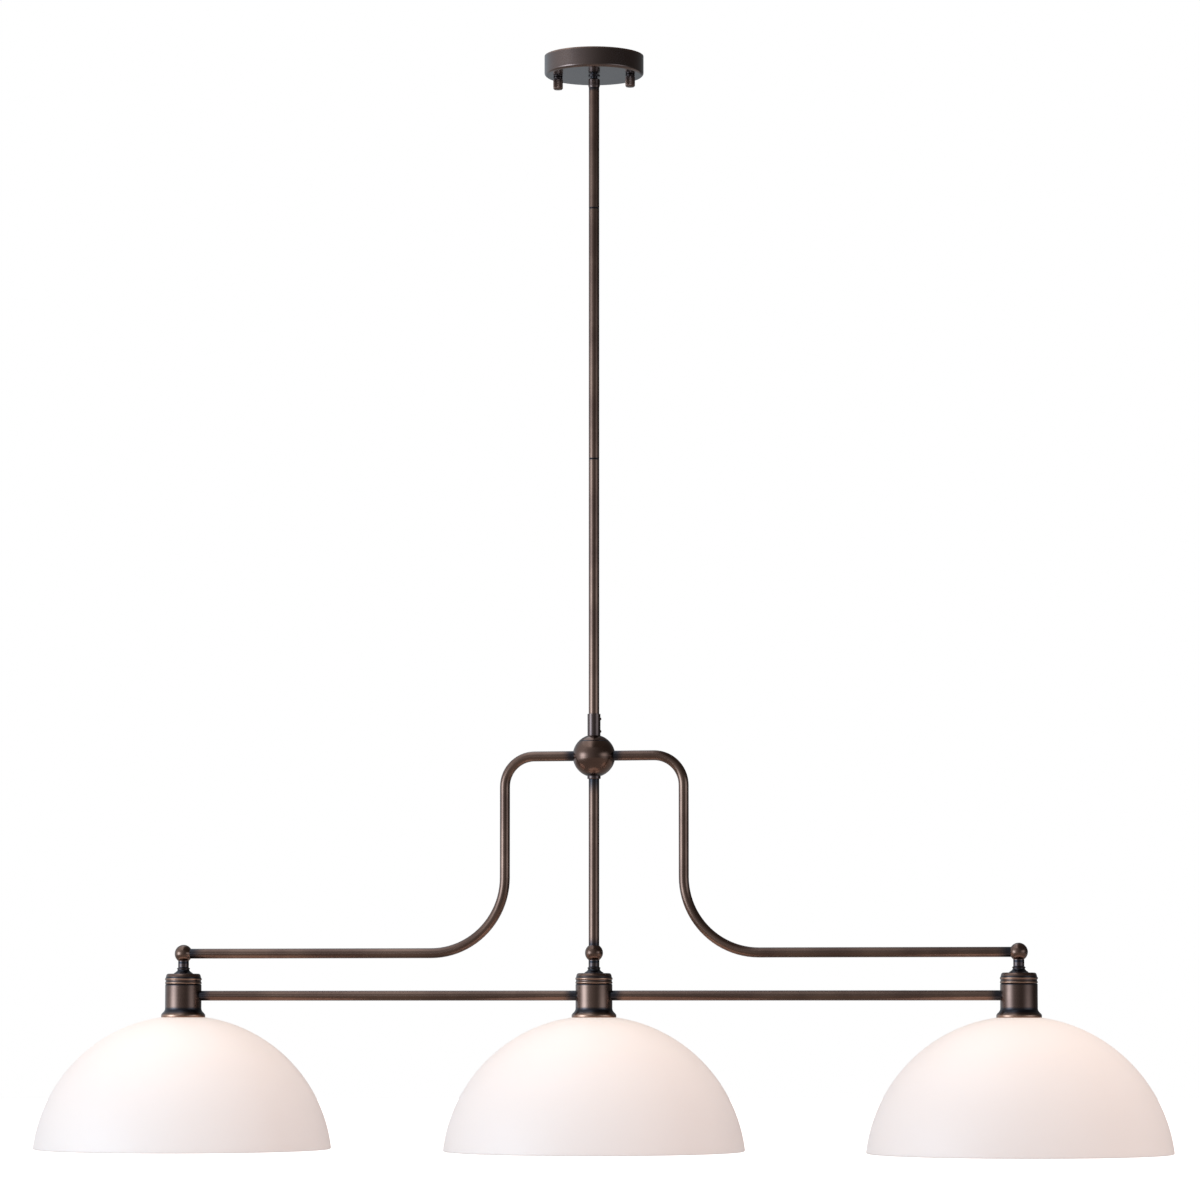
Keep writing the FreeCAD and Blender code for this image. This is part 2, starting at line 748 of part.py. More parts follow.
def make_hub():
    sleeve_blank = turned("sleeve_blank", [
        ("thread_hole", "0"),
        ("sleeve_radius", "0"),
        ("sleeve_radius", "sleeve_height"),
        ("rod_radius + thread_gap", "sleeve_height"),
        ("rod_radius + thread_gap", "sleeve_floor"),
        ("thread_hole", "sleeve_floor"),
    ])
    place(sleeve_blank, z="sleeve_bottom")
    holes = []
    screws = []
    for name in ("set_screw_low", "set_screw_high"):
        height = f"sleeve_bottom + {name}"
        holes.append(round_bar(name + "_hole", "set_screw_radius + thread_gap",
                               "sleeve_radius + cutter_run", "x", z=height))
        start = "nipple_radius" if name == "set_screw_low" else "rod_radius"
        length = f"sleeve_radius + set_screw_proud - {start} - thread_gap"
        screws.append(round_bar(name + "_screw", "set_screw_radius", length, "x",
                                x=f"{start} + thread_gap", z=height))
    keep(cut("hub_sleeve", sleeve_blank, joined("sleeve_holes", *holes)), "hub_sleeve")
    group("hub_set_screws", screws)

    hub_cap = turned("hub_cap", [
        ("thread_hole", "hub_seat"),
        ("sleeve_radius", "hub_seat", "hub_radius", -1),
        ("sqrt(hub_radius ^ 2 - (seam_height + seam_notch) ^ 2)", "seam_height + seam_notch"),
        ("seam_radius - seam_notch", "seam_height"),
        ("seam_inner - seat_gap", "seam_height"),
        ("seam_inner - seat_gap", "seam_height - lip_height"),
        ("seam_inner - seat_gap - lip_thickness", "seam_height - lip_height"),
        ("seam_inner - seat_gap - lip_thickness",
         "sqrt(hub_inner ^ 2 - (seam_inner - seat_gap - lip_thickness) ^ 2)", "hub_inner", 1),
        ("thread_hole", "sqrt(hub_inner ^ 2 - thread_hole ^ 2)"),
    ])
    keep(place(hub_cap, z="hub_centre"), "hub_cap")

    bowl_blank = turned("bowl_blank", [
        ("seam_inner", "seam_height"),
        ("seam_radius - seam_notch", "seam_height"),
        ("sqrt(hub_radius ^ 2 - (seam_height - seam_notch) ^ 2)", "seam_height - seam_notch",
         "hub_radius", -1),
        ("hub_ring_radius", "-ring_seat"),
        ("thread_hole", "-ring_seat"),
        ("thread_hole", "-sqrt(hub_inner ^ 2 - thread_hole ^ 2)", "hub_inner", 1),
    ])
    place(bowl_blank, z="hub_centre")
    arm_holes = round_bar("bowl_arm_holes", "arm_radius + thread_gap", "2 * (hub_radius + cutter_run)", "x",
                          x="-hub_radius - cutter_run", z="hub_centre")
    keep(cut("hub_bowl", bowl_blank, arm_holes), "hub_bowl")

    hub_ring = turned("hub_ring", [
        ("thread_hole", "0"),
        ("hub_ring_radius", "0"),
        ("hub_ring_radius", "-hub_ring_height + rod_bevel"),
        ("hub_ring_radius - rod_bevel", "-hub_ring_height"),
        ("thread_hole", "-hub_ring_height"),
    ])
    keep(place(hub_ring, z="hub_centre - ring_seat"), "hub_ring")

    top_nipple = tube("hub_nipple_top", "nipple_radius", "nipple_bore",
                      "sleeve_bottom + sleeve_floor + nipple_radius",
                      "hub_centre + hub_nut_seat - hub_nut_height - rod_bevel", "rod_bevel")
    low_nipple = tube("hub_nipple_low", "nipple_radius", "nipple_bore",
                      "hub_centre - hub_nut_seat + hub_nut_height + rod_bevel",
                      "drop_top - nipple_engagement", "rod_bevel")
    group("hub_nipples", [top_nipple, low_nipple])

    size = ("hub_nut_flats", "hub_nut_height")
    nuts = [
        hex_nut("hub_nut_top", *size, "thread_hole", z="hub_centre + hub_nut_seat - hub_nut_height"),
        hex_nut("hub_nut_low", *size, "thread_hole", z="hub_centre - hub_nut_seat"),
        hex_nut("hub_nut_left", *size, "arm_radius + thread_gap", "x", x="-hub_nut_seat", z="hub_centre"),
        hex_nut("hub_nut_right", *size, "arm_radius + thread_gap", "x",
                x="hub_nut_seat - hub_nut_height", z="hub_centre"),
    ]
    group("hub_lock_nuts", nuts)

    block = doc.addObject("Part::Box", "splice_blank")
    block.setExpression("Length", linked("splice_length"))
    block.setExpression("Width", linked("splice_depth"))
    block.setExpression("Height", linked("splice_height"))
    place(block, "-splice_length / 2", "-splice_depth / 2", "hub_centre - splice_height / 2")
    entry = "cable_radius + thread_gap"
    entries = [
        round_bar("entry_top", entry, "splice_socket", z="hub_centre + splice_height / 2 - splice_socket"),
        round_bar("entry_low", entry, "splice_socket", z="hub_centre - splice_height / 2"),
        round_bar("entry_left", entry, "splice_socket", "x", x="-splice_length / 2", z="hub_centre"),
        round_bar("entry_right", entry, "splice_socket", "x",
                  x="splice_length / 2 - splice_socket", z="hub_centre"),
    ]
    keep(cut("splice_block", block, joined("splice_entries", *entries)), "splice_block")

    stem_cable = turned("stem_cable", [
        ("0", "pin_height - cable_gap_below_pin"),
        ("cable_radius", "pin_height - cable_gap_below_pin"),
        ("cable_radius", "hub_centre + splice_height / 2 - splice_socket + thread_gap"),
        ("0", "hub_centre + splice_height / 2 - splice_socket + thread_gap"),
    ])
    keep(stem_cable, "stem_cable")


def arm_route(sign, start, tail):
    """The centre line from the hub out, down and out again to a light."""
    curve = int(sign)
    return [
        (f"{sign} * ({start})", "0"),
        (f"{sign} * (arm_reach - upper_bend)", "0", "upper_bend", -curve),
        (f"{sign} * arm_reach", "-upper_bend"),
        (f"{sign} * arm_reach", "-arm_drop + lower_bend", "lower_bend", curve),
        (f"{sign} * (arm_reach + lower_bend)", "-arm_drop"),
    ] + tail


def make_arms():
    for side, sign in SIDES.items():
        tail = [(f"{sign} * (light_spacing - ball_cavity + thread_gap)", "-arm_drop")]
        arm = bent("arm_" + side, arm_route(sign, "arm_start", tail), f"{sign} * arm_start",
                   "arm_radius", "arm_radius - arm_wall")
        keep(place(arm, z="hub_centre"), "arm_" + side)

    drop_rod = tube("drop_rod", "rod_radius", "rod_inner", "drop_top",
                    "ball_height + ball_cavity - thread_gap", "rod_bevel")
    keep(drop_rod, "drop_rod")

    cables = []
    for side, sign in SIDES.items():
        start = "splice_length / 2 - splice_socket + thread_gap"
        tail = [
            (f"{sign} * (light_spacing - cable_turn)", "-arm_drop", "cable_turn", -int(sign)),
            (f"{sign} * light_spacing", "-arm_drop - cable_turn"),
            (f"{sign} * light_spacing", "socket_top_height - socket_roof - thread_gap - hub_centre"),
        ]
        cable = bent("lamp_cable_" + side, arm_route(sign, start, tail), f"{sign} * ({start})",
                     "cable_radius")
        cables.append(place(cable, z="hub_centre"))
    cables.append(turned("lamp_cable_centre", [
        ("0", "hub_centre - splice_height / 2 + splice_socket - thread_gap"),
        ("cable_radius", "hub_centre - splice_height / 2 + splice_socket - thread_gap"),
        ("cable_radius", "socket_top_height - socket_roof - thread_gap"),
        ("0", "socket_top_height - socket_roof - thread_gap"),
    ]))
    group("lamp_cables", cables)

    nuts = []
    for side, sign in SIDES.items():
        span = "light_spacing - 2 * bar_end"
        outer = round_bar(f"bar_{side}_rod", "bar_radius", span, "x",
                          x="bar_end" if sign == "1" else "bar_end - light_spacing", z="bar_height")
        inner = round_bar(f"bar_{side}_bore", "bar_radius - bar_wall", span, "x",
                          x="bar_end" if sign == "1" else "bar_end - light_spacing", z="bar_height")
        keep(cut("bar_" + side, outer, inner), "bar_" + side)
        middle = "(bar_nut_seat - bar_nut_height / 2)"
        ends = {"inner": f"{sign} * {middle}", "outer": f"{sign} * (light_spacing - {middle})"}
        for end, x in ends.items():
            nuts.append(hex_nut(f"bar_nut_{side}_{end}", "bar_nut_flats", "bar_nut_height",
                                "bar_radius + thread_gap", "x",
                                x=f"{x} - bar_nut_height / 2", z="bar_height"))
    group("bar_lock_nuts", nuts)


def make_ball(light, x):
    """The hollow ball that turns an arm's tube down into a light."""
    blank = turned("ball_blank_" + light, [
        ("0", "ball_radius", "ball_radius", -1),
        ("neck_radius", "-neck_seat"),
        ("thread_hole", "-neck_seat"),
        ("thread_hole", "-sqrt(ball_cavity ^ 2 - thread_hole ^ 2)", "ball_cavity", 1),
        ("0", "ball_cavity"),
    ])
    place(blank, x=x, z="ball_height")
    name = "ball_hole_" + light
    reach = "ball_radius + cutter_run"
    if light == "centre":
        hole = round_bar(name, "rod_radius + thread_gap", reach, z="ball_height")
    elif light == "left":
        hole = round_bar(name, "arm_radius + thread_gap", reach, "x", x=x, z="ball_height")
    else:
        hole = round_bar(name, "arm_radius + thread_gap", reach, "-x", x=x, z="ball_height")
    return cut("ball_" + light, blank, hole)


def make_neck(light, x):
    neck = turned("neck_" + light, [
        ("thread_hole", "0"),
        ("neck_radius", "0"),
        ("neck_radius", "-neck_height"),
        ("bell_top_radius", "-neck_height - rod_bevel"),
        ("bell_waist_radius", "-neck_height - bell_waist_drop", "bell_curve", 1),
        ("bell_bottom_radius", "-neck_height - bell_height + bell_foot_height"),
        ("bell_foot_radius", "-neck_height - bell_height"),
        ("thread_hole", "-neck_height - bell_height"),
    ])
    return place(neck, x=x, z="neck_top")


def make_cup_cap(light, x):
    cap = turned("cup_cap_" + light, [
        ("thread_hole", "0"),
        ("cap_shoulder", "0", "cap_edge_drop", -1),
        ("cap_edge_radius", "-cap_edge_drop"),
        ("cap_slope_radius", "-cap_slope_drop"),
        ("cap_bead_radius", "-cap_bead_drop"),
        ("cap_bead_radius", "-cap_bead_drop - cap_bead_width"),
        ("cap_groove_radius", "-cap_groove_drop"),
        ("cap_bead_radius", "-cap_low_bead_drop"),
        ("cap_bead_radius", "-cap_low_bead_drop - cap_low_bead_width"),
        ("cup_radius", "-cap_skirt"),
        ("cup_inner - thread_gap", "-cap_skirt"),
        ("cup_inner - thread_gap", "-cap_skirt - cap_lip_reach"),
        ("cup_inner - thread_gap - cap_lip_wall", "-cap_skirt - cap_lip_reach"),
        ("cup_inner - thread_gap - cap_lip_wall", "-cap_top_thickness"),
        ("thread_hole", "-cap_top_thickness"),
    ])
    return place(cap, x=x, z="cup_top")


def make_cup_body(light, x):
    blank = turned("cup_blank_" + light, [
        ("cup_inner", "0"),
        ("cup_radius - seam_notch", "0"),
        ("cup_radius", "-seam_notch"),
        ("cup_radius", "-cup_straight"),
        ("cup_flare_radius", "-cup_flare_drop", "cove_curve", 1),
        ("cove_radius", "-cove_drop"),
        ("flange_radius", "-cup_body_height + flange_height"),
        ("flange_radius", "-cup_body_height + flange_bevel"),
        ("flange_radius - flange_bevel", "-cup_body_height"),
        ("cup_mouth_radius", "-cup_body_height"),
        ("cup_inner", "-cup_flare_drop"),
    ])
    place(blank, x=x, z="cup_top - cap_skirt")
    bore = "bar_radius + thread_gap"
    reach = "(cup_radius + cutter_run)"
    name = "cup_bar_hole_" + light
    if light == "centre":
        hole = round_bar(name, bore, f"2 * {reach}", "x", x=f"-{reach}", z="bar_height")
    elif light == "left":
        hole = round_bar(name, bore, reach, "x", x=x, z="bar_height")
    else:
        hole = round_bar(name, bore, reach, "-x", x=x, z="bar_height")
    return cut("cup_body_" + light, blank, hole)


def make_socket(light, x):
    nipple = tube("socket_nipple_" + light, "nipple_radius", "nipple_bore",
                  "ball_height - ball_cavity + thread_gap",
                  "socket_top_height - socket_roof + thread_gap", "rod_bevel")
    place(nipple, x=x)
    socket = turned("socket_" + light, [
        ("thread_hole", "0"),
        ("socket_radius - socket_round", "0", "socket_round", -1),
        ("socket_radius", "-socket_round"),
        ("socket_radius", "-socket_height"),
        ("socket_bore", "-socket_height"),
        ("socket_bore", "-socket_floor"),
        ("contact_stem + thread_gap", "-socket_floor"),
        ("contact_stem + thread_gap", "-socket_roof - chamber_height"),
        ("chamber_radius", "-socket_roof - chamber_height"),
        ("chamber_radius", "-socket_roof"),
        ("thread_hole", "-socket_roof"),
    ])
    place(socket, x=x, z="socket_top_height")
    shell = turned("screw_shell_" + light, [
        ("shell_radius - shell_wall", "0"),
        ("shell_radius", "0"),
        ("shell_radius", "-shell_height"),
        ("shell_radius - shell_wall", "-shell_height"),
    ])
    place(shell, x=x, z="socket_top_height - shell_top")
    contact = turned("contact_" + light, [
        ("0", "-socket_roof - chamber_height"),
        ("contact_stem", "-socket_roof - chamber_height"),
        ("contact_stem", "-socket_floor"),
        ("contact_radius", "-socket_floor"),
        ("contact_radius", "-socket_floor - contact_thickness"),
        ("contact_tip_radius", "-socket_floor - contact_thickness - contact_bump"),
        ("0", "-socket_floor - contact_thickness - contact_bump"),
    ])
    place(contact, x=x, z="socket_top_height")
    return nipple, socket, shell, contact


def make_shade(light, x):
    shade = turned("shade_" + light, [
        ("shade_hole", "0"),
        ("flange_radius", "0", "shade_sphere", -1),
        ("shade_radius", "-shade_height", "rim_round", -1),
        ("shade_inner_rim", "-shade_height", "shade_inner_sphere", 1),
        ("shade_inner_seat", "-shade_seat"),
        ("shade_hole", "-shade_seat"),
    ])
    keep(place(shade, x=x, z="flange_bottom"), "shade_" + light)
    gasket = turned("gasket_" + light, [
        ("gasket_inner", "0"),
        ("gasket_outer", "0"),
        ("gasket_outer", "-gasket_thickness"),
        ("gasket_inner", "-gasket_thickness"),
    ])
    place(gasket, x=x, z="gasket_top")
    retainer = turned("retainer_ring_" + light, [
        ("socket_radius + running_gap", "0"),
        ("ring_radius - ring_bevel", "0"),
        ("ring_radius", "-ring_bevel"),
        ("ring_radius", "-ring_height + ring_bevel"),
        ("ring_radius - ring_bevel", "-ring_height"),
        ("socket_radius + running_gap", "-ring_height"),
    ])
    keep(place(retainer, x=x, z="ring_top"), "retainer_ring_" + light)
    return gasket


def make_bulb(light, x):
    base_inside = "-bulb_top - bulb_shoulder_drop - bulb_base_wall - bulb_base_end_thickness"
    base = turned("bulb_base_" + light, [
        ("0", "-bulb_top"),
        ("bulb_tip_radius", "-bulb_top"),
        ("bulb_tip_radius", "-bulb_top - bulb_tip_height"),
        ("bulb_shoulder_radius", "-bulb_top - bulb_shoulder_drop"),
        ("bulb_base_radius", "-bulb_top - bulb_shoulder_drop - bulb_base_wall"),
        ("bulb_base_radius", "-bulb_base_end"),
        ("bulb_base_radius - bulb_base_wall", "-bulb_base_end"),
        ("bulb_base_radius - bulb_base_wall", base_inside),
        ("0", base_inside),
    ])
    keep(place(base, x=x, z="socket_top_height"), "bulb_base_" + light)
    shoulder = "-bulb_base_end - bulb_neck_flare"
    glass = turned("bulb_glass_" + light, [
        ("bulb_neck_radius - bulb_glass_wall", "-bulb_base_end + bulb_neck_rise"),
        ("bulb_neck_radius", "-bulb_base_end + bulb_neck_rise"),
        ("bulb_neck_radius", "-bulb_base_end"),
        ("bulb_base_radius", shoulder, "bulb_neck_curve", 1),
        ("bulb_wide", "-bulb_centre + bulb_widening", "bulb_radius", -1),
        ("0", "-bulb_bottom"),
        ("0", "-bulb_bottom + bulb_glass_wall", "bulb_inner", 1),
        ("bulb_wide_inner", "-bulb_centre + bulb_widening", "bulb_neck_curve", -1),
        ("bulb_base_radius - bulb_glass_wall", shoulder),
        ("bulb_neck_radius - bulb_glass_wall", "-bulb_base_end"),
    ])
    keep(place(glass, x=x, z="socket_top_height"), "bulb_glass_" + light)


def make_lights():
    balls, necks, caps, gaskets = [], [], [], []
    nipples, sockets, shells, contacts = [], [], [], []
    for light, x in LIGHTS.items():
        balls.append(make_ball(light, x))
        necks.append(make_neck(light, x))
        caps.append(make_cup_cap(light, x))
        keep(make_cup_body(light, x), "cup_body_" + light)
        nipple, socket, shell, contact = make_socket(light, x)
        nipples.append(nipple)
        sockets.append(socket)
        shells.append(shell)
        contacts.append(contact)
        gaskets.append(make_shade(light, x))
        make_bulb(light, x)
    group("knuckle_balls", balls)
    group("necks", necks)
    group("cup_caps", caps)
    group("socket_nipples", nipples)
    group("socket_bodies", sockets)
    group("screw_shells", shells)
    group("socket_contacts", contacts)
    group("shade_gaskets", gaskets)


def check_document():
    """Stop if any object of the document failed, or any sub-part has no valid shape."""
    doc.recompute()
    for item in doc.Objects:
        if "Invalid" in item.State or "Error" in item.State:
            raise RuntimeError(f"{item.Label} failed: {item.State}")
    for node in nodes:
        if node.Shape.isNull() or not node.Shape.isValid() or not node.Shape.Solids:
            raise RuntimeError(f"{node.Label} has no valid solid")


make_crossbar()
make_canopy()
make_swivel()
make_supply_cable()
make_stem()
make_hub()
make_arms()
make_lights()
check_document()

os.makedirs("parts", exist_ok=True)
for node in nodes:
    node.Shape.exportStep(f"parts/{node.Label}.step")
    box = node.Shape.BoundBox
    print(f"{node.Label}: {len(node.Shape.Solids)} solids, {node.Shape.Volume:.0f} mm3, "
          f"z {box.ZMin:.1f} to {box.ZMax:.1f}")
print(f"{len(nodes)} nodes")
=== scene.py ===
import math

import bmesh
import bpy
from bpy.props import FloatProperty, FloatVectorProperty, IntProperty, PointerProperty
from mathutils import Matrix, Vector


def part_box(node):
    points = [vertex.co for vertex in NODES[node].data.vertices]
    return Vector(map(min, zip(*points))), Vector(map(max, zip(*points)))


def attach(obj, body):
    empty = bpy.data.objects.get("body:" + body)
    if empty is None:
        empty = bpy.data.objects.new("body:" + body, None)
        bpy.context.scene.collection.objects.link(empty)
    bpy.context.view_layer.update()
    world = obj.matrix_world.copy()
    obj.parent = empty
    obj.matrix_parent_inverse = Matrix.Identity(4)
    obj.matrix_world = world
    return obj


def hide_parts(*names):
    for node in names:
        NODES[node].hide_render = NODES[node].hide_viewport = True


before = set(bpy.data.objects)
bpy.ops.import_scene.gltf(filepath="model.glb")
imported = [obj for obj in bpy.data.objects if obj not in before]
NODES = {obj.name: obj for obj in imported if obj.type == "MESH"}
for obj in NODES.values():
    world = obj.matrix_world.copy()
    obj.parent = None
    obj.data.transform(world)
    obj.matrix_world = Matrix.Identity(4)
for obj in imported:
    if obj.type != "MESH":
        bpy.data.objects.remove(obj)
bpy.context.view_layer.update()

bl_info = {
    "name": "Island pendant",
    "version": (1, 0, 0),
    "blender": (4, 5, 0),
    "location": "3D View > Sidebar > Pendant",
    "description": "Finishes and fine pieces of a three-light island pendant with opal domes",
    "category": "Object",
}

LIGHTS = ("left", "centre", "right")
BLACK = (0.0, 0.0, 0.0, 1.0)
WHITE = (1.0, 1.0, 1.0, 1.0)

# CAD nodes that keep their shape, by their finish
KEPT_BRONZE = {
    "Bronze hub": ("hub_cap", "hub_bowl"),
    "Bronze turned": ("knuckle_balls",),
    "Bronze blackened": ("swivel_yoke", "swivel_barrel", "swivel_pins", "hub_sleeve", "hub_ring"),
    "Bronze canopy": ("canopy",),
    "Bronze upright tube": ("rod_top", "rod_middle", "rod_lower", "drop_rod"),
    "Bronze arm tube": ("arm_left", "arm_right"),
    "Bronze bar tube": ("bar_left", "bar_right"),
}
KEPT_ZINC = (
    "box_strap", "stud_strap", "strap_rivet", "stud_lock_nuts", "canopy_studs", "swivel_washer",
    "swivel_nut", "rod_nipples", "hub_nipples", "hub_lock_nuts", "bar_lock_nuts", "socket_nipples",
)

# How fine the brushing is along X, Y and Z, in two layers
BRUSHED = {
    "round": ((12.0, 12.0, 700.0), (20.0, 20.0, 260.0)),
    "canopy": ((8.0, 8.0, 500.0), (16.0, 16.0, 200.0)),
    "upright": ((260.0, 260.0, 5.0), (120.0, 120.0, 14.0)),
    "bar": ((5.0, 260.0, 260.0), (14.0, 120.0, 120.0)),
    "arm": ((20.0, 260.0, 20.0), (14.0, 120.0, 14.0)),
    "knurled": ((400.0, 400.0, 400.0), (900.0, 900.0, 900.0)),
}

# The light that shiny metal sees in the studio's walls: an even level and four soft boxes. A box
# has an angle from the front and a width in degrees, its strength near the floor, at mid height
# and high up, and its coolness. Each fade is the heights between which one level gives way to
# the next.
CARD_STRENGTH = 8.0
WALL_LEVEL = 0.08
SOFT_BOXES = (
    (-53, 14, 4.0, 5.1, 0.1, 1.2),
    (-68, 66, 0.7, 0.72, 0.72, 0.6),
    (-135, 36, 0.15, 0.17, 0.08, 0.5),
    (68, 18, 0.6, 1.6, 0.0, 0.8),
)
FOOT_FADE = (-1.15, -0.8)
TOP_FADE = (-0.5, 0.75)
STUDIO_RADIUS = 5.0
STUDIO_TOP = 4.0

# What shiny metal sees overhead and underfoot, each stop a place from left to right, a brightness
# and a coolness. The stops spread over CARD_REACH to either side.
CARD_REACH = 2.5
CARD_LIFT = 0.02
CEILING_GLOSS = (
    (0.0, 0.9, 0.5), (0.28, 1.5, 0.7), (0.42, 0.5, 0.4), (0.52, 0.2, 0.2), (0.7, 0.1, 0.0),
)
FLOOR_GLOSS = ((0.0, 0.34, 0.0), (0.5, 0.36, 0.0), (1.0, 0.42, 0.0))

# The floor's radius, grey and tint under the object, and how far out it fades to white
FLOOR_RADIUS = 40.0
FLOOR_GREY = (0.7, 0.7, 0.7, 1.0)
FLOOR_TINT = (0.26, 0.36, 0.41, 1.0)
FLOOR_FADE = (0.8, 3.5)

# The lamps' colour, place, aim, width and height
LAMPS = {
    "key_box": ((0.60, 0.86, 1.0), (-1.95, -2.3, -0.95), (0.0, 0.0, -0.95), 0.55, 1.5),
    "fill_box": ((1.0, 0.90, 0.82), (2.8, -0.1, -0.95), (0.0, 0.0, -0.95), 0.6, 1.5),
    "top_box": ((1.0, 0.98, 0.96), (0.0, -0.5, 1.6), (0.0, 0.0, -1.0), 2.6, 1.2),
}

# The photo's camera, with its turn in degrees
SENSOR_WIDTH = 36.0
LENS = 138.92
LENS_SHIFT = 0.06
CAMERA_PLACE = (1.0448, -5.4448, -1.1485)
CAMERA_TURN = (94.132, 0.0, 10.788)


def colour_property(name, description, default):
    return FloatVectorProperty(name=name, description=description, default=default,
                               subtype="COLOR", size=3, min=0, max=1)


def length_property(name, description, default):
    return FloatProperty(name=name, description=description, default=default, unit="LENGTH",
                         precision=5, min=0)


def power_property(name, description, default):
    return FloatProperty(name=name, description=description, default=default, unit="POWER", min=0)


def strength_property(name, description, default):
    return FloatProperty(name=name, description=description, default=default, min=0)


def count_property(name, description, default):
    return IntProperty(name=name, description=description, default=default, min=8)


class PendantFinish(bpy.types.PropertyGroup):
    bronze_dark: colour_property("Bronze, dark", "Oil-rubbed bronze where the patina is thickest",
                                 (0.122, 0.064, 0.044))
    bronze_light: colour_property("Bronze, light", "Oil-rubbed bronze under the thinnest patina",
                                  (0.208, 0.117, 0.080))
    blackening: colour_property("Blackening", "Blue-black patina over the bronze",
                                (0.050, 0.040, 0.044))
    copper: colour_property("Copper edge", "Bare copper plating where an edge is rubbed through",
                            (0.520, 0.290, 0.190))
    # Recess: colour of the dark patina in grooves and of the painted shade in corners and where
    # parts meet
    recess: colour_property("Recess", "Dark patina in the grooves", (0.014, 0.015, 0.021))
    zinc: colour_property("Zinc", "Plated steel in the canopy and the tubes", (0.56, 0.55, 0.52))
    ground_green: colour_property("Green plating", "The ground screw", (0.05, 0.26, 0.08))
    opal: colour_property("Opal glass", "White glass of the domes", (0.90, 0.89, 0.89))
    glow: colour_property("Glow", "Warm light that shows through the crown of a dome",
                          (1.0, 0.86, 0.70))
    bulb: colour_property("Bulb glass", "Frosted glass of the bulbs", (0.90, 0.88, 0.84))
    nickel: colour_property("Bulb cap", "Rolled metal of the bulb bases", (0.66, 0.66, 0.67))
    brass: colour_property("Brass", "Screw shells and contacts", (0.68, 0.50, 0.24))
    ceramic: colour_property("Ceramic", "Glazed socket bodies", (0.80, 0.79, 0.75))
    rubber: colour_property("Gasket", "Silicone gasket over each ring", (0.72, 0.71, 0.67))
    jacket: colour_property("Cable jacket", "Round cable jacket", (0.018, 0.018, 0.019))
    connector: colour_property("Connector", "Moulded wire connectors", (0.75, 0.20, 0.03))
    splice: colour_property("Splice block", "Moulded splice block in the hub", (0.62, 0.61, 0.57))


class PendantDetail(bpy.types.PropertyGroup):
    knurl_count: count_property("Knurl ridges", "Ridges round a cap nut", 36)
    knurl_depth: length_property("Knurl depth", "Depth of the cap nut's ridges", 0.00035)
    grip_count: count_property("Ring grips", "Ridges round a retainer ring", 48)
    grip_depth: length_property("Grip depth", "Depth of the retainer ring's ridges", 0.0005)
    thread_pitch: length_property("Bulb thread pitch", "Rise of one turn of the base", 0.00363)
    thread_depth: length_property("Bulb thread depth", "Depth of the rolled thread", 0.0010)
    glass_thickness: length_property("Glass thickness", "Wall of a dome", 0.0035)
    glass_centre_drop: length_property("Dome centre drop", "Sphere centre below the rim", 0.022)
    glow_strength: strength_property("Glow strength", "Light of the lit crown", 0.22)


class PendantStudio(bpy.types.PropertyGroup):
    floor_height: FloatProperty(name="Floor height", description="Height of the floor",
                                default=-2.05, unit="LENGTH")
    key_power: power_property("Key light", "Power of the left soft box", 23.5)
    fill_power: power_property("Fill light", "Power of the right soft box", 4.8)
    top_power: power_property("Top light", "Power of the overhead soft box", 12.0)
    room_light: strength_property("Room light", "Strength of the even light all round", 0.88)
    room_tint: colour_property("Room tint", "Tint of the even light", (1.0, 0.83, 0.77))


def finish_values():
    return bpy.context.scene.pendant_finish


def detail_values():
    return bpy.context.scene.pendant_detail


def studio_values():
    return bpy.context.scene.pendant_studio


# Node helpers

def feed(tree, node, inputs):
    """Give a node its inputs, each a number, a colour or another node's output."""
    for socket, source in inputs.items():
        if isinstance(source, bpy.types.NodeSocket):
            tree.links.new(source, node.inputs[socket])
        else:
            node.inputs[socket].default_value = source


def add(tree, kind, inputs=None, **settings):
    """A new node with its inputs and settings."""
    made = tree.nodes.new(kind)
    for key, setting in settings.items():
        setattr(made, key, setting)
    feed(tree, made, inputs or {})
    return made


def blend(tree, factor, first, second):
    """A colour between two others."""
    mixed = add(tree, "ShaderNodeMix", {0: factor, 6: first, 7: second}, data_type="RGBA")
    return mixed.outputs[2]


def maths(tree, operation, first, second=0.0, clamp=False):
    return add(tree, "ShaderNodeMath", {0: first, 1: second}, operation=operation,
               use_clamp=clamp).outputs[0]


def product(tree, first, second, clamp=False):
    return maths(tree, "MULTIPLY", first, second, clamp)


def spread(tree, value, low, high, to_low=0.0, to_high=1.0, kind="SMOOTHSTEP"):
    """A value moved from one range to another."""
    return add(tree, "ShaderNodeMapRange", {0: value, 1: low, 2: high, 3: to_low, 4: to_high},
               interpolation_type=kind).outputs[0]


def on_object(tree):
    """The place on the object."""
    return add(tree, "ShaderNodeTexCoord").outputs["Object"]


def axes(tree):
    """The place on the object, taken apart into X, Y and Z."""
    return add(tree, "ShaderNodeSeparateXYZ", {0: on_object(tree)}).outputs


def noise(tree, place, scale, detail, roughness=0.5):
    return add(tree, "ShaderNodeTexNoise", {"Vector": place, "Scale": scale, "Detail": detail,
                                            "Roughness": roughness}).outputs["Fac"]


def bump(tree, height, strength, distance=0.0001):
    return add(tree, "ShaderNodeBump", {"Height": height, "Strength": strength,
                                        "Distance": distance}).outputs[0]


def solid(colour):
    return (*colour, 1.0)


# Effects

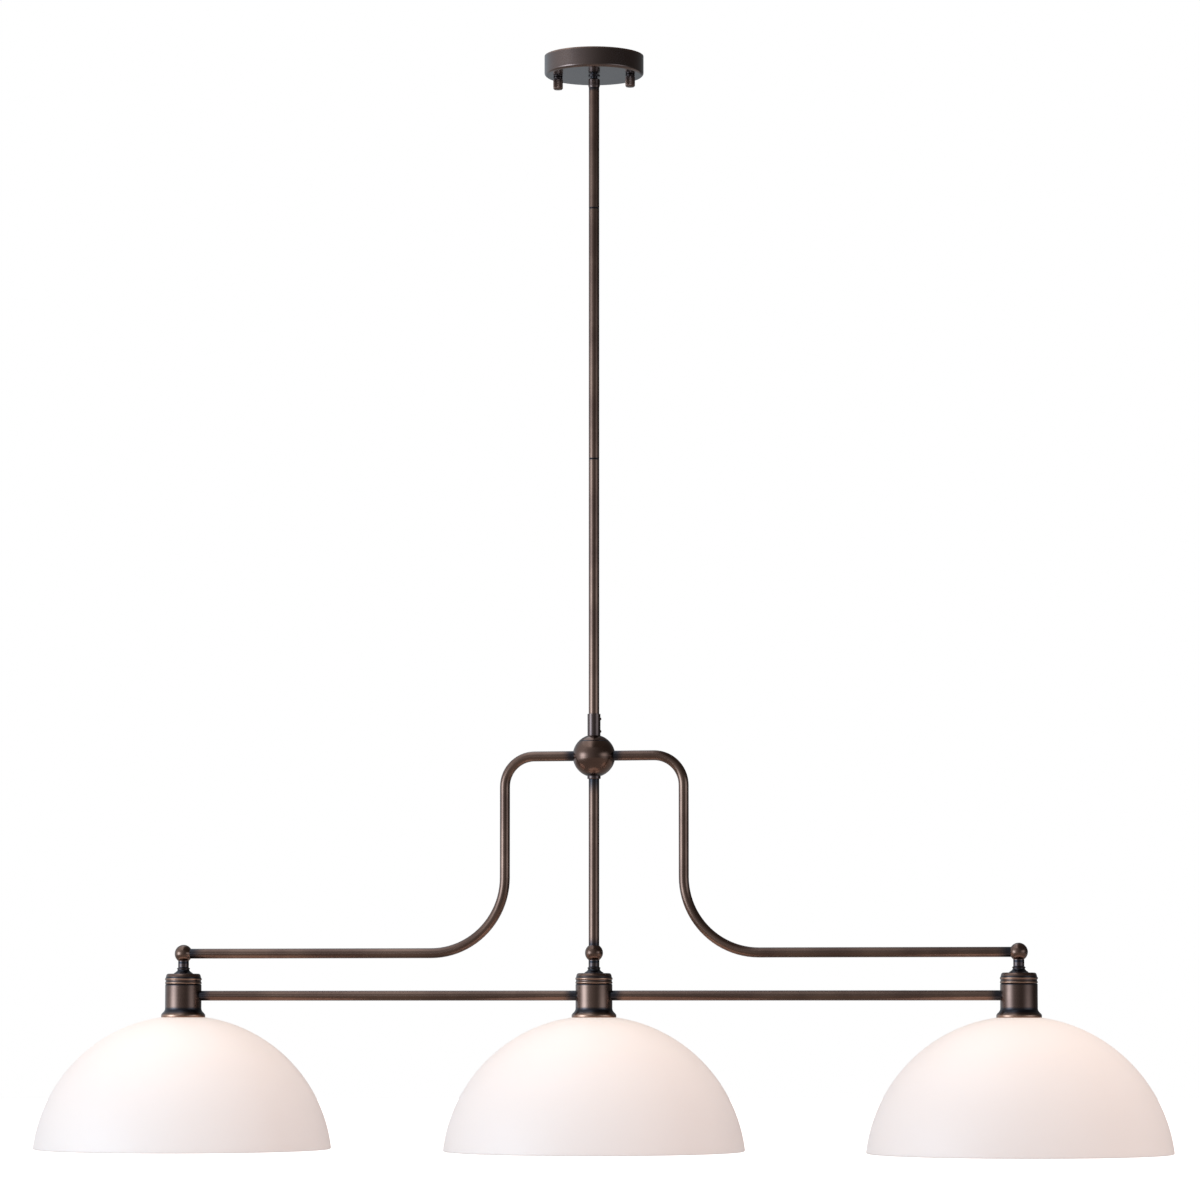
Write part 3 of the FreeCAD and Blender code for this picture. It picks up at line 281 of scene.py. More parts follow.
def edge_wear(tree, given):
    """Edges, worn in patches."""
    place = on_object(tree)
    rounded = add(tree, "ShaderNodeBevel", {"Radius": given["Width"]}, samples=6)
    facing = add(tree, "ShaderNodeNewGeometry")
    lean = add(tree, "ShaderNodeVectorMath", {0: rounded.outputs[0], 1: facing.outputs["Normal"]},
               operation="DOT_PRODUCT")
    bend = maths(tree, "SUBTRACT", 1.0, lean.outputs["Value"])
    edge = spread(tree, bend, given["Low"], given["High"])
    patches = noise(tree, place, given["Breakup"], 3.0)
    return product(tree, edge, spread(tree, patches, 0.30, 0.62, 0.35, 1.0), clamp=True)


def brushing(tree, given):
    """Fine lines in two layers."""
    place = on_object(tree)
    layers = []
    for stretch, share in (("Stretch", 0.6), ("Second Stretch", 0.4)):
        pulled = add(tree, "ShaderNodeVectorMath", {0: place, 1: given[stretch]},
                     operation="MULTIPLY")
        layers.append(product(tree, noise(tree, pulled.outputs[0], 1.0, 2.0, 0.6), share))
    return maths(tree, "ADD", *layers)


def patina(tree, given):
    """Broad clouds where the patina is thin."""
    broad = noise(tree, on_object(tree), given["Scale"], 4.0, 0.55)
    return spread(tree, broad, given["Low"], given["High"])


def recess(tree, given):
    """Painted shade in grooves, in corners and where parts meet, as a mask from occlusion."""
    shelter = add(tree, "ShaderNodeAmbientOcclusion", {"Distance": given["Reach"]}, samples=8)
    return spread(tree, shelter.outputs["AO"], given["Open"], given["Closed"])


def band(tree, given):
    """A band across the object, added to what was there before."""
    away = maths(tree, "ABSOLUTE", maths(tree, "SUBTRACT", given["Place"], given["Middle"]))
    near = spread(tree, away, given["Reach"], given["Core"])
    return maths(tree, "MAXIMUM", given["Before"], near)


def unevenness(tree, given):
    """A soft swell of the surface."""
    return noise(tree, on_object(tree), given["Scale"], given["Detail"])


# Each effect, the name of what it gives, and its inputs
EFFECTS = {
    "Edge wear": (edge_wear, "Mask",
                  {"Width": 0.0006, "Low": 0.02, "High": 0.22, "Breakup": 260.0}),
    "Brushing": (brushing, "Lines",
                 {"Stretch": (30.0, 30.0, 2500.0), "Second Stretch": (60.0, 60.0, 700.0)}),
    "Patina": (patina, "Thin", {"Scale": 14.0, "Low": 0.36, "High": 0.64}),
    "Recess": (recess, "Mask", {"Reach": 0.006, "Open": 0.85, "Closed": 0.45}),
    "Band": (band, "Mask",
             {"Place": 0.0, "Middle": 0.0, "Core": 0.002, "Reach": 0.01, "Before": 0.0}),
    "Unevenness": (unevenness, "Height", {"Scale": 40.0, "Detail": 2.0}),
}


def new_effect(name):
    """The node group of an effect, with its named inputs and its output."""
    build, result, inputs = EFFECTS[name]
    tree = bpy.data.node_groups.new(name, "ShaderNodeTree")
    for label, default in inputs.items():
        kind = "NodeSocketVector" if isinstance(default, tuple) else "NodeSocketFloat"
        socket = tree.interface.new_socket(name=label, in_out="INPUT", socket_type=kind)
        socket.default_value = default
    tree.interface.new_socket(name=result, in_out="OUTPUT", socket_type="NodeSocketFloat")
    given = tree.nodes.new("NodeGroupInput").outputs
    out = tree.nodes.new("NodeGroupOutput")
    feed(tree, out, {result: build(tree, given)})
    return tree


def use(tree, effect, **inputs):
    """What an effect gives in a material, with the material's own values."""
    group = bpy.data.node_groups.get(effect) or new_effect(effect)
    made = add(tree, "ShaderNodeGroup", node_tree=group)
    feed(tree, made, {label.replace("_", " "): source for label, source in inputs.items()})
    return made.outputs[0]


def banded(tree, apart, bands, before=0.0):
    """A mask with bands. Each is its axis, the distance of its middle, its core and its reach."""
    for axis, middle, core, reach in bands:
        before = use(tree, "Band", Place=maths(tree, "ABSOLUTE", apart[axis]), Middle=middle,
                     Core=core, Reach=reach, Before=before)
    return before


# Finishes

def new_finish(name, **constants):
    """A material with one shader. Its constants are named as the shader's sockets are."""
    made = bpy.data.materials.new(name)
    made.use_nodes = True
    tree = made.node_tree
    tree.nodes.clear()
    shader = tree.nodes.new("ShaderNodeBsdfPrincipled")
    feed(tree, shader, {label.replace("_", " "): value for label, value in constants.items()})
    add(tree, "ShaderNodeOutputMaterial", {"Surface": shader.outputs[0]})
    return made, tree, shader


def bronze(name, way, black, gloss, bands=(), rubs=(), wear=0.0006, full_wear=0.22, lacquer=0.3,
           grain=0.025):
    """Oil-rubbed bronze brushed one way, with copper at its edges and in rubbed bands, and dark
    patina mixed with painted shade in its corners, where parts meet and in dark bands."""
    values = finish_values()
    made, tree, shader = new_finish(name, Metallic=1.0, Coat_Weight=lacquer, Coat_Roughness=0.2,
                                    Coat_IOR=1.5)
    stretch, second = BRUSHED[way]
    thin = use(tree, "Patina", Scale=11.0)
    lines = use(tree, "Brushing", Stretch=stretch, Second_Stretch=second)
    worn = use(tree, "Edge wear", Width=wear, High=full_wear)
    # Painted shade: darkening in grooves, in corners and where parts meet, from occlusion
    sheltered = use(tree, "Recess", Reach=0.012)
    apart = axes(tree)
    # The bands add dark patina and painted shade at grooves and joins
    sheltered = banded(tree, apart, bands, sheltered)
    streaks = spread(tree, lines, 0.30, 0.70)
    tone = maths(tree, "ADD", product(tree, thin, 0.82), product(tree, streaks, 0.18))
    colour = blend(tree, tone, solid(values.bronze_dark), solid(values.bronze_light))
    colour = blend(tree, black, colour, solid(values.blackening))
    colour = blend(tree, product(tree, worn, 0.8), colour, solid(values.copper))
    # Blend towards the recess colour: dark patina with painted shade
    colour = blend(tree, product(tree, sheltered, 0.92), colour, solid(values.recess))
    if rubs:
        patches = spread(tree, lines, 0.35, 0.6, 0.35, 0.7)
        share = product(tree, banded(tree, apart, rubs), patches)
        colour = blend(tree, share, colour, solid(values.copper))
    satin = spread(tree, tone, 0.0, 1.0, gloss + 0.02, gloss - 0.02, "LINEAR")
    rough = maths(tree, "ADD", satin, product(tree, sheltered, 0.1))
    feed(tree, shader, {"Base Color": colour, "Roughness": rough})
    if grain > 0.0:
        feed(tree, shader, {"Normal": bump(tree, lines, grain)})
    return made


def clouded(name, colour, clouds, corner_shade, corners, rough, grain, **constants):
    """A finish with faint clouds, painted shade in its corners and a fine grain. Clouds have a
    scale and a dull share of the colour, corners a reach and a share of the painted shade colour,
    and grain a scale and a strength."""
    made, tree, shader = new_finish(name, **constants)
    thin = use(tree, "Patina", Scale=clouds[0])
    # Painted shade: corners darkened by occlusion
    sheltered = use(tree, "Recess", Reach=corners[0])
    dull = tuple(clouds[1] * part for part in colour)
    body = blend(tree, thin, solid(dull), solid(colour))
    height = use(tree, "Unevenness", Scale=grain[0], Detail=3.0)
    feed(tree, shader, {
        "Base Color": blend(tree, product(tree, sheltered, corners[1]), body, solid(corner_shade)),
        "Roughness": spread(tree, thin, 0.0, 1.0, *rough, "LINEAR"),
        "Normal": bump(tree, height, grain[1]),
    })
    return made


def plated(name, colour, roughness=0.32, scale=90.0):
    """Bright plated or bare metal."""
    # The darker colour of the painted shade in corners
    corner_shade = [part * share for part, share in zip(colour, (0.25, 0.24, 0.22))]
    return clouded(name, colour, (scale, 0.8), corner_shade, (0.003, 0.7),
                   (roughness + 0.08, roughness - 0.04), (900.0, 0.15), Metallic=1.0)


def moulded(name, colour, roughness=0.45, coat=0.0, scale=500.0, depth=0.2):
    """Plastic, rubber or glazed ceramic."""
    # The darker colour of the painted shade in corners
    corner_shade = [0.45 * part for part in colour]
    return clouded(name, colour, (60.0, 0.86), corner_shade, (0.004, 0.5),
                   (roughness + 0.05, roughness - 0.05), (scale, depth),
                   Coat_Weight=coat, Coat_Roughness=0.12)


def opal_glass(name):
    """White flashed glass, etched to a satin. Its crown glows warm with the light inside."""
    values, detail = finish_values(), detail_values()
    made, tree, shader = new_finish(name, Emission_Strength=detail.glow_strength,
                                    Subsurface_Weight=0.1, Subsurface_Scale=0.01,
                                    Subsurface_Radius=(1.0, 0.85, 0.75), IOR=1.5,
                                    Specular_IOR_Level=0.35)
    low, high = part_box("shade_left")
    crown = maths(tree, "POWER", spread(tree, axes(tree)["Z"], low.z, high.z, kind="LINEAR"), 2.2)
    etching = use(tree, "Unevenness", Scale=30.0, Detail=1.0)
    feed(tree, shader, {
        "Base Color": solid(values.opal),
        "Emission Color": blend(tree, crown, BLACK, solid(values.glow)),
        "Roughness": spread(tree, etching, 0.3, 0.7, 0.46, 0.52, "LINEAR"),
    })
    return made


def bulb_glass(name):
    """Frosted bulb glass, dimly lit."""
    values = finish_values()
    made, tree, shader = new_finish(name, Emission_Strength=0.25, IOR=1.5)
    low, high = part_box("bulb_glass_left")
    lit = spread(tree, axes(tree)["Z"], low.z, high.z, 1.0, 0.35)
    frost = use(tree, "Patina", Scale=220.0)
    dull = tuple(0.95 * part for part in values.bulb)
    grain = use(tree, "Unevenness", Scale=2500.0, Detail=2.0)
    feed(tree, shader, {
        "Base Color": blend(tree, frost, solid(dull), solid(values.bulb)),
        "Emission Color": blend(tree, lit, BLACK, solid(values.glow)),
        "Roughness": spread(tree, frost, 0.0, 1.0, 0.42, 0.34, "LINEAR"),
        "Normal": bump(tree, grain, 0.12, 0.00005),
    })
    return made


def cup_bands():
    """Dark patina and painted shade in the cups' grooves and over their flanges."""
    top = -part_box("cup_caps")[1].z
    return (("Z", top + 0.0048, 0.0003, 0.0015), ("Z", top + 0.0092, 0.0, 0.0007),
            ("Z", top + 0.0134, 0.0003, 0.0018), ("Z", top + 0.0442, 0.0014, 0.0046))


def cup_rubs():
    """Bare copper on the cups' beads and round the rims of their flanges."""
    top = -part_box("cup_caps")[1].z
    return (("Z", top + 0.0066, 0.0004, 0.0012), ("Z", top + 0.0113, 0.0003, 0.0010),
            ("Z", top + 0.0514, 0.0014, 0.0030))


def neck_bands():
    """Dark patina and painted shade in the hollow of each bell and under each ball."""
    foot = -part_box("cup_caps")[1].z
    return (("Z", foot - 0.0028, 0.0012, 0.0030), ("Z", foot - 0.0074, 0.0002, 0.0012),
            ("Z", -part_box("necks")[1].z + 0.0022, 0.0004, 0.0022))


def hub_bands():
    """Dark patina in the hub's seam, and dark patina with painted shade round its foot."""
    low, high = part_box("hub_bowl")
    return (("Z", -high.z, 0.0002, 0.0009), ("Z", -low.z, 0.0004, 0.0045))


def upright_bands():
    """Dark patina and painted shade at the ends of the upright tubes."""
    return tuple(("Z", -level, 0.0006, reach) for level, reach in (
        (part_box("rod_top")[1].z, 0.006), (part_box("rod_middle")[1].z, 0.0016),
        (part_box("rod_lower")[1].z, 0.0016), (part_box("drop_rod")[1].z, 0.022),
        (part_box("drop_rod")[0].z, 0.012)))


def bar_bands():
    """Dark patina and painted shade where the bars go into the cups."""
    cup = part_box("cup_body_right")
    middle = (cup[0].x + cup[1].x) / 2
    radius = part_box("cup_caps")[1].x - middle
    return (("X", radius, 0.003, 0.016), ("X", middle - radius, 0.003, 0.016))


def arm_bands():
    """Dark patina and painted shade where the arms go into the hub and the balls."""
    return (("X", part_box("hub_bowl")[1].x, 0.002, 0.014),
            ("X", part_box("arm_right")[1].x, 0.004, 0.022))


FINISHES = {
    "Bronze turned": lambda n: bronze(n, "round", 0.08, 0.235),
    "Bronze cup": lambda n: bronze(n, "round", 0.2, 0.235, cup_bands(), cup_rubs()),
    "Bronze hub": lambda n: bronze(n, "round", 0.08, 0.19, hub_bands()),
    "Bronze blackened": lambda n: bronze(n, "round", 0.65, 0.22),
    "Bronze neck": lambda n: bronze(n, "round", 0.72, 0.24, neck_bands()),
    "Bronze canopy": lambda n: bronze(n, "canopy", 0.45, 0.15, wear=0.0035, full_wear=0.07,
                                      lacquer=0.8),
    "Bronze upright tube": lambda n: bronze(n, "upright", 0.08, 0.24, upright_bands(), grain=0.0),
    "Bronze bar tube": lambda n: bronze(n, "bar", 0.08, 0.24, bar_bands(), grain=0.0),
    "Bronze arm tube": lambda n: bronze(n, "arm", 0.08, 0.24, arm_bands(), grain=0.0),
    "Bronze knurled": lambda n: bronze(n, "knurled", 0.35, 0.28, wear=0.0003),
    "Zinc steel": lambda n: plated(n, finish_values().zinc),
    "Green plating": lambda n: plated(n, finish_values().ground_green, 0.3),
    "Bulb cap": lambda n: plated(n, finish_values().nickel, 0.26, 60.0),
    "Solder": lambda n: plated(n, (0.5, 0.5, 0.5), 0.4, 300.0),
    "Brass": lambda n: plated(n, finish_values().brass, 0.3),
    "Ceramic": lambda n: moulded(n, finish_values().ceramic, 0.3, 0.5, 120.0, 0.12),
    "Insulator": lambda n: moulded(n, (0.012, 0.012, 0.014), 0.15, 0.4),
    "Gasket": lambda n: moulded(n, finish_values().rubber, 0.6),
    "Cable jacket": lambda n: moulded(n, finish_values().jacket, 0.5),
    "Wire connector": lambda n: moulded(n, finish_values().connector, 0.38),
    "Green connector": lambda n: moulded(n, finish_values().ground_green, 0.38),
    "Splice block": lambda n: moulded(n, finish_values().splice, 0.42),
    "Opal glass": opal_glass,
    "Bulb glass": bulb_glass,
}


def coat(piece, look):
    """Give a piece its finish, which is made the first time it is asked for."""
    piece.data.materials.clear()
    piece.data.materials.append(bpy.data.materials.get(look) or FINISHES[look](look))


def coat_nodes(look, *names):
    """Give CAD nodes that keep their shape a finish."""
    for name in names:
        coat(NODES[name], look)


# Shape helpers

def upright(node):
    """Where an upright round node stands: its place on plan, its foot, its top and its radius."""
    low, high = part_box(node)
    middle = (low + high) / 2
    return Matrix.Translation((middle.x, middle.y, 0.0)), low.z, high.z, (high.x - low.x) / 2


def at_lights(kind):
    """Where the three nodes of a kind stand."""
    return [upright(kind + light)[0] for light in LIGHTS]


def new_object(name, build):
    """An object in the scene, from a mesh that has been built."""
    mesh = bpy.data.meshes.new(name)
    build.to_mesh(mesh)
    build.free()
    made = bpy.data.objects.new(name, mesh)
    bpy.context.scene.collection.objects.link(made)
    return made


def turned(name, rows, places, segments=96, shape=None, closed=True, sharp=35.0):
    """A mesh turned about Z from rows of radius and height, at each of the places. A row on the
    axis is one point, so the faces round it have three corners."""
    build = bmesh.new()
    for place in places:
        rings = []
        for radius, height in rows:
            if radius == 0.0:
                rings.append([build.verts.new(place @ Vector((0.0, 0.0, height)))] * segments)
                continue
            ring = []
            for step in range(segments):
                angle = 2 * math.pi * step / segments
                reach = shape(radius, height, angle) if shape else radius
                spot = Vector((reach * math.cos(angle), reach * math.sin(angle), height))
                ring.append(build.verts.new(place @ spot))
            rings.append(ring)
        pairs = list(zip(rings, rings[1:]))
        if closed and rows[0][0] > 0.0 and rows[-1][0] > 0.0:
            pairs.append((rings[-1], rings[0]))
        for upper, lower in pairs:
            for step in range(segments):
                after = (step + 1) % segments
                corners = dict.fromkeys((upper[step], lower[step], lower[after], upper[after]))
                if len(corners) > 2:
                    build.faces.new(list(corners))
    bmesh.ops.recalc_face_normals(build, faces=build.faces)
    piece = new_object(name, build)
    piece.data.shade_smooth()
    piece.data.set_sharp_from_angle(angle=math.radians(sharp))
    return piece


def wave(turn):
    """From 0 to 1 and back in one turn."""
    return 0.5 - 0.5 * math.cos(turn)


def ridged(count, depth, inner=0.0):
    """A shape with rounded ridges along it, on every row wider than the inner radius."""
    def shape(radius, height, angle):
        if radius <= inner:
            return radius
        return radius - depth * wave(count * angle)
    return shape


def rolled_thread(pitch, depth, low, high, inner=0.0):
    """A shape with a rolled thread between two heights."""
    def shape(radius, height, angle):
        if radius <= inner or not low < height < high:
            return radius
        fade = min(1.0, (height - low) / pitch, (high - height) / pitch)
        turn = 2 * math.pi * height / pitch - angle
        return radius - depth * fade * wave(turn)
    return shape


def steps(first, last, count):
    """Evenly spaced numbers from first to last."""
    return [first + (last - first) * number / count for number in range(count + 1)]


def rounded_bead(base, depth, middle, half):
    """Rows of a half-round bead that stands out from a base radius, from its top down."""
    return [(base + depth * math.cos(turn), middle - half * math.sin(turn))
            for turn in steps(-math.pi / 2, math.pi / 2, 10)]


def pierce(piece, radius, length, starts):
    """Cut round holes along X into a piece, each from its start."""
    build = bmesh.new()
    across = Matrix.Rotation(math.pi / 2, 4, "Y")
    for start in starts:
        middle = start + Vector((length / 2, 0.0, 0.0))
        bmesh.ops.create_cone(build, cap_ends=True, segments=64, radius1=radius, radius2=radius,
                              depth=length, matrix=Matrix.Translation(middle) @ across)
    drill = new_object("drill", build)
    drilling = piece.modifiers.new("Holes", "BOOLEAN")
    drilling.operation = "DIFFERENCE"
    drilling.solver = "EXACT"
    drilling.object = drill
    depsgraph = bpy.context.evaluated_depsgraph_get()
    drilled = bpy.data.meshes.new_from_object(piece.evaluated_get(depsgraph))
    piece.modifiers.clear()
    piece.data = drilled
    bpy.data.objects.remove(drill)


def settle(piece, body, slot, look, *nodes):
    """Ride a finished piece on its body and let it stand for its nodes."""
    coat(piece, look)
    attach(piece, body)
    if nodes:
        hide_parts(*nodes)


# Pieces

class PENDANT_OT_bronze_frame(bpy.types.Operator):
    """Brushed bronze on the canopy, swivel, stem, hub, arms, bars and balls"""
    bl_idname = "pendant.bronze_frame"
    bl_label = "Bronze frame"

    def execute(self, context):
        for look, names in KEPT_BRONZE.items():
            coat_nodes(look, *names)
        return {"FINISHED"}


class PENDANT_OT_cups(bpy.types.Operator):
    """The beaded cap and the flanged body of each cup"""
    bl_idname = "pendant.cups"
    bl_label = "Cups"

    def execute(self, context):
        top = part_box("cup_caps")[1].z
        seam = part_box("cup_body_left")[1].z
        places = at_lights("cup_body_")
        bore = 0.0053
        band = 0.0214
        rows = [(bore, top - 0.0016), (bore, top), (0.0182, top), (0.0194, top - 0.0003),
                (0.0203, top - 0.0011), (0.0209, top - 0.0024), (0.0212, top - 0.0040),
                (band, top - 0.0050)]
        rows += rounded_bead(band, 0.0009, top - 0.0066, 0.0015)
        rows += [(band + 0.0001, top - 0.0087), (band + 0.0001, top - 0.0095)]
        rows += rounded_bead(band, 0.0008, top - 0.0113, 0.0013)
        rows += [(band - 0.0003, seam), (0.0205, seam), (0.0205, top - 0.0016)]
        caps = turned("turned_cup_caps", rows, places, 128, sharp=40.0)
        settle(caps, "fixture", "bronze", "Bronze cup", "cup_caps")
        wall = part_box("bar_left")
        slip = 0.00005
        hole = (wall[1].z - wall[0].z) / 2 + slip
        height = (wall[1].z + wall[0].z) / 2
        inner = 0.0209
        radius = 0.0220
        for light in LIGHTS:
            node = "cup_body_" + light
            place, low, high, reach = upright(node)
            lip = high - 0.0358
            flare = high - 0.0295
            rows = [(inner, high), (radius - 0.0004, high), (radius, high - 0.0004),
                    (radius, high - 0.0285), (radius + 0.0001, flare)]
            rows += [(radius + 0.0001 + 0.0034 * part ** 1.9, flare - 0.0052 * part)
                     for part in steps(0.1, 1.0, 8)]
            rows += [(reach - 0.0006, lip), (reach - 0.0002, lip - 0.0003),
                     (reach, lip - 0.0009), (reach, low + 0.0012), (reach - 0.0002, low + 0.0005),
                     (reach - 0.0007, low + 0.0001), (reach - 0.0012, low),
                     (radius, low), (inner, high - 0.0286)]
            body = turned("turned_cup_" + light, rows, [place], 128, sharp=40.0)
            middle = place.translation.x
            runs = []
            if light != "right":
                runs.append(middle)
            if light != "left":
                runs.append(middle - 2 * radius)
            pierce(body, hole, 2 * radius, [Vector((start, 0.0, height)) for start in runs])
            settle(body, "fixture", "bronze", "Bronze cup", node)
        return {"FINISHED"}


class PENDANT_OT_necks(bpy.types.Operator):
    """The three necks, each with its small bell"""
    bl_idname = "pendant.necks"
    bl_label = "Necks"

    def execute(self, context):
        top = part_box("necks")[1].z
        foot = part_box("cup_caps")[1].z
        places = at_lights("cup_body_")
        bore = 0.0052
        rows = [(bore, foot), (bore, top), (0.0065, top), (0.0065, foot + 0.0074),
                (0.0068, foot + 0.0071)]
        rows += rounded_bead(0.0070, 0.0009, foot + 0.0061, 0.0008)
        rows += [(0.0072 + 0.0034 * part ** 2.2, foot + 0.0052 - 0.0040 * part)
                 for part in steps(0.0, 1.0, 10)]
        rows += [(0.0111, foot + 0.0009), (0.0113, foot + 0.0006), (0.0113, foot)]
        necks = turned("turned_necks", rows, places, 96, sharp=40.0)
        settle(necks, "fixture", "bronze", "Bronze neck", "necks")
        return {"FINISHED"}


class PENDANT_OT_ceiling_parts(bpy.types.Operator):
    """Plated crossbar, studs, nuts and nipples"""
    bl_idname = "pendant.ceiling_parts"
    bl_label = "Plated parts"

    def execute(self, context):
        coat_nodes("Zinc steel", *KEPT_ZINC)
        coat_nodes("Green plating", "ground_screw")
        return {"FINISHED"}


class PENDANT_OT_cap_nuts(bpy.types.Operator):
    """The two knurled cap nuts under the canopy"""
    bl_idname = "pendant.cap_nuts"
    bl_label = "Cap nuts"

    def execute(self, context):
        detail = detail_values()
        for side in ("left", "right"):
            node = "cap_nut_" + side
            place, low, high, radius = upright(node)
            bore = 0.0021
            floor = low + 0.0024
            rows = [(bore, high), (radius - 0.0008, high), (radius - 0.0002, high - 0.0005),
                    (radius - 0.0002, high - 0.0016), (radius - 0.0007, high - 0.0019),
                    (radius - 0.0007, high - 0.0024)]
            rows += [(radius, height) for height in steps(high - 0.0028, low + 0.0014, 6)]
            rows += [(radius - 0.0005, low + 0.0009), (radius - 0.0008, low + 0.0003),
                     (radius - 0.0014, low), (0.0, low), (0.0, floor), (bore, floor)]
            shape = ridged(detail.knurl_count, detail.knurl_depth, radius - 0.0001)
            piece = turned("knurled_cap_nut_" + side, rows, [place], detail.knurl_count * 6, shape)
            settle(piece, node, "bronze", "Bronze knurled", node)
        return {"FINISHED"}


class PENDANT_OT_set_screws(bpy.types.Operator):
    """The two socket set screws in the hub's sleeve"""
    bl_idname = "pendant.set_screws"
    bl_label = "Set screws"

    def execute(self, context):
        low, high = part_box("hub_set_screws")
        radius = 0.0015
        outward = Matrix.Rotation(math.pi / 2, 4, "Y")
        places = [Matrix.Translation((0.0, 0.0, height)) @ outward
                  for height in (low.z + radius, high.z - radius)]
        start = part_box("rod_lower")[1].x + 0.0001
        key = 0.0007
        rows = [(0.0, start), (radius, start), (radius, high.x - 0.0003),
                (radius - 0.0003, high.x), (key, high.x), (key, high.x - 0.0009),
                (0.0, high.x - 0.0009)]

        def shape(reach, height, angle):
            if reach > key:
                return reach
            sixth = math.pi / 3
            return reach / math.cos(angle % sixth - sixth / 2)

        piece = turned("hub_socket_screws", rows, places, 48, shape)
        settle(piece, "fixture", "bronze", "Bronze knurled", "hub_set_screws")
        return {"FINISHED"}


class PENDANT_OT_shades(bpy.types.Operator):
    """The three opal domes"""
    bl_idname = "pendant.shades"
    bl_label = "Glass domes"

    def execute(self, context):
        detail = detail_values()
        for light in LIGHTS:
            node = "shade_" + light
            place, low, high, radius = upright(node)
            glass = detail.glass_thickness
            lip = glass / 2
            rim = low + lip
            centre = rim - detail.glass_centre_drop
            outer = math.hypot(radius, detail.glass_centre_drop)
            inner = outer - glass
            seat_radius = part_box("cup_body_" + light)[1].x - place.translation.x
            hole = 0.021
            seat_below = high - 0.0042
            first = math.asin(seat_radius / outer)
            last = math.acos(detail.glass_centre_drop / outer)
            rows = [(hole, high)]
            rows += [(outer * math.sin(angle), centre + outer * math.cos(angle))
                     for angle in steps(first, last, 56)]
            end_outer = Vector((outer * math.sin(last), outer * math.cos(last)))
            outward = end_outer.normalized()
            middle = outward * (outer - lip)
            tangent = Vector((outward.y, -outward.x))
            for turn in steps(0.0, math.pi, 8)[1:-1]:
                spot = middle + outward * lip * math.cos(turn) + tangent * lip * math.sin(turn)
                rows.append((spot.x, centre + spot.y))
            inner_first = math.acos((seat_below - centre) / inner)
            rows += [(inner * math.sin(angle), centre + inner * math.cos(angle))
                     for angle in steps(last, inner_first, 52)]
            rows.append((hole, seat_below))
            piece = turned("opal_dome_" + light, rows, [place], 192, sharp=50.0)
            settle(piece, "fixture", "opal_glass", "Opal glass", node)
        return {"FINISHED"}


class PENDANT_OT_retainer_rings(bpy.types.Operator):
    """The ridged rings that hold the domes"""
    bl_idname = "pendant.retainer_rings"
    bl_label = "Retainer rings"

    def execute(self, context):
        detail = detail_values()
        for light in LIGHTS:
            node = "retainer_ring_" + light
            place, low, high, radius = upright(node)
            bore = 0.01955
            bevel = 0.0008
            grip = radius - 0.0003
            rows = [(bore, high), (radius - 2 * bevel, high), (radius - bevel, high - 0.0003),
                    (radius - bevel / 2, high - bevel), (radius, high - 0.0014),
                    (radius, (high + low) / 2), (radius, low + 0.0014),
                    (radius - bevel / 2, low + bevel), (radius - bevel, low + 0.0003),
                    (radius - 2 * bevel, low), (bore + 0.0006, low), (bore, low + 0.0006)]
            shape = ridged(detail.grip_count, detail.grip_depth, grip)
            piece = turned("ridged_ring_" + light, rows, [place], detail.grip_count * 6, shape)
            settle(piece, "ring_" + light, "bronze", "Bronze knurled", node)
        return {"FINISHED"}


class PENDANT_OT_bulbs(bpy.types.Operator):
    """The bulbs, with rolled thread, insulator and contact"""
    bl_idname = "pendant.bulbs"
    bl_label = "Bulbs"

    def execute(self, context):
        detail = detail_values()
        for light in LIGHTS:
            node = "bulb_base_" + light
            body = "bulb_" + light
            place, low, high, radius = upright(node)
            cone_top = high - 0.0018
            cone_foot = high - 0.0038
            thread_top = cone_foot - 0.0005
            inside = radius - detail.thread_depth - 0.0004
            cone = 0.0095
            rows = [(cone, cone_foot), (0.0115, cone_foot - 0.0002)]
            rows += [(radius, height) for height in steps(thread_top, low + 0.0032, 60)]
            rows += [(radius - 0.0004, low + 0.0026), (radius - 0.0004, low), (inside, low),
                     (inside, cone_foot - 0.0012), (cone, cone_foot - 0.0012)]
            thread = rolled_thread(detail.thread_pitch, detail.thread_depth, low + 0.0033,
                                   thread_top, inside)
            shell = turned("bulb_thread_" + light, rows, [place], 96, thread)
            settle(shell, body, "bulb_cap", "Bulb cap", node)
            rows = [(0.0, cone_top + 0.0002), (0.0045, cone_top + 0.0002), (0.0052, cone_top),
                    (0.0092, cone_foot + 0.0002), (cone, cone_foot - 0.0004),
                    (0.0, cone_foot - 0.0004)]
            insulator = turned("bulb_insulator_" + light, rows, [place], 64)
            settle(insulator, body, "bulb_cap", "Insulator")
            rows = [(0.0, high), (0.0016, high - 0.0001), (0.0030, high - 0.0005),
                    (0.0039, high - 0.0012), (0.0040, cone_top), (0.0, cone_top)]
            contact = turned("bulb_contact_" + light, rows, [place], 48)
            settle(contact, body, "bulb_cap", "Solder")
            coat_nodes("Bulb glass", "bulb_glass_" + light)
        return {"FINISHED"}


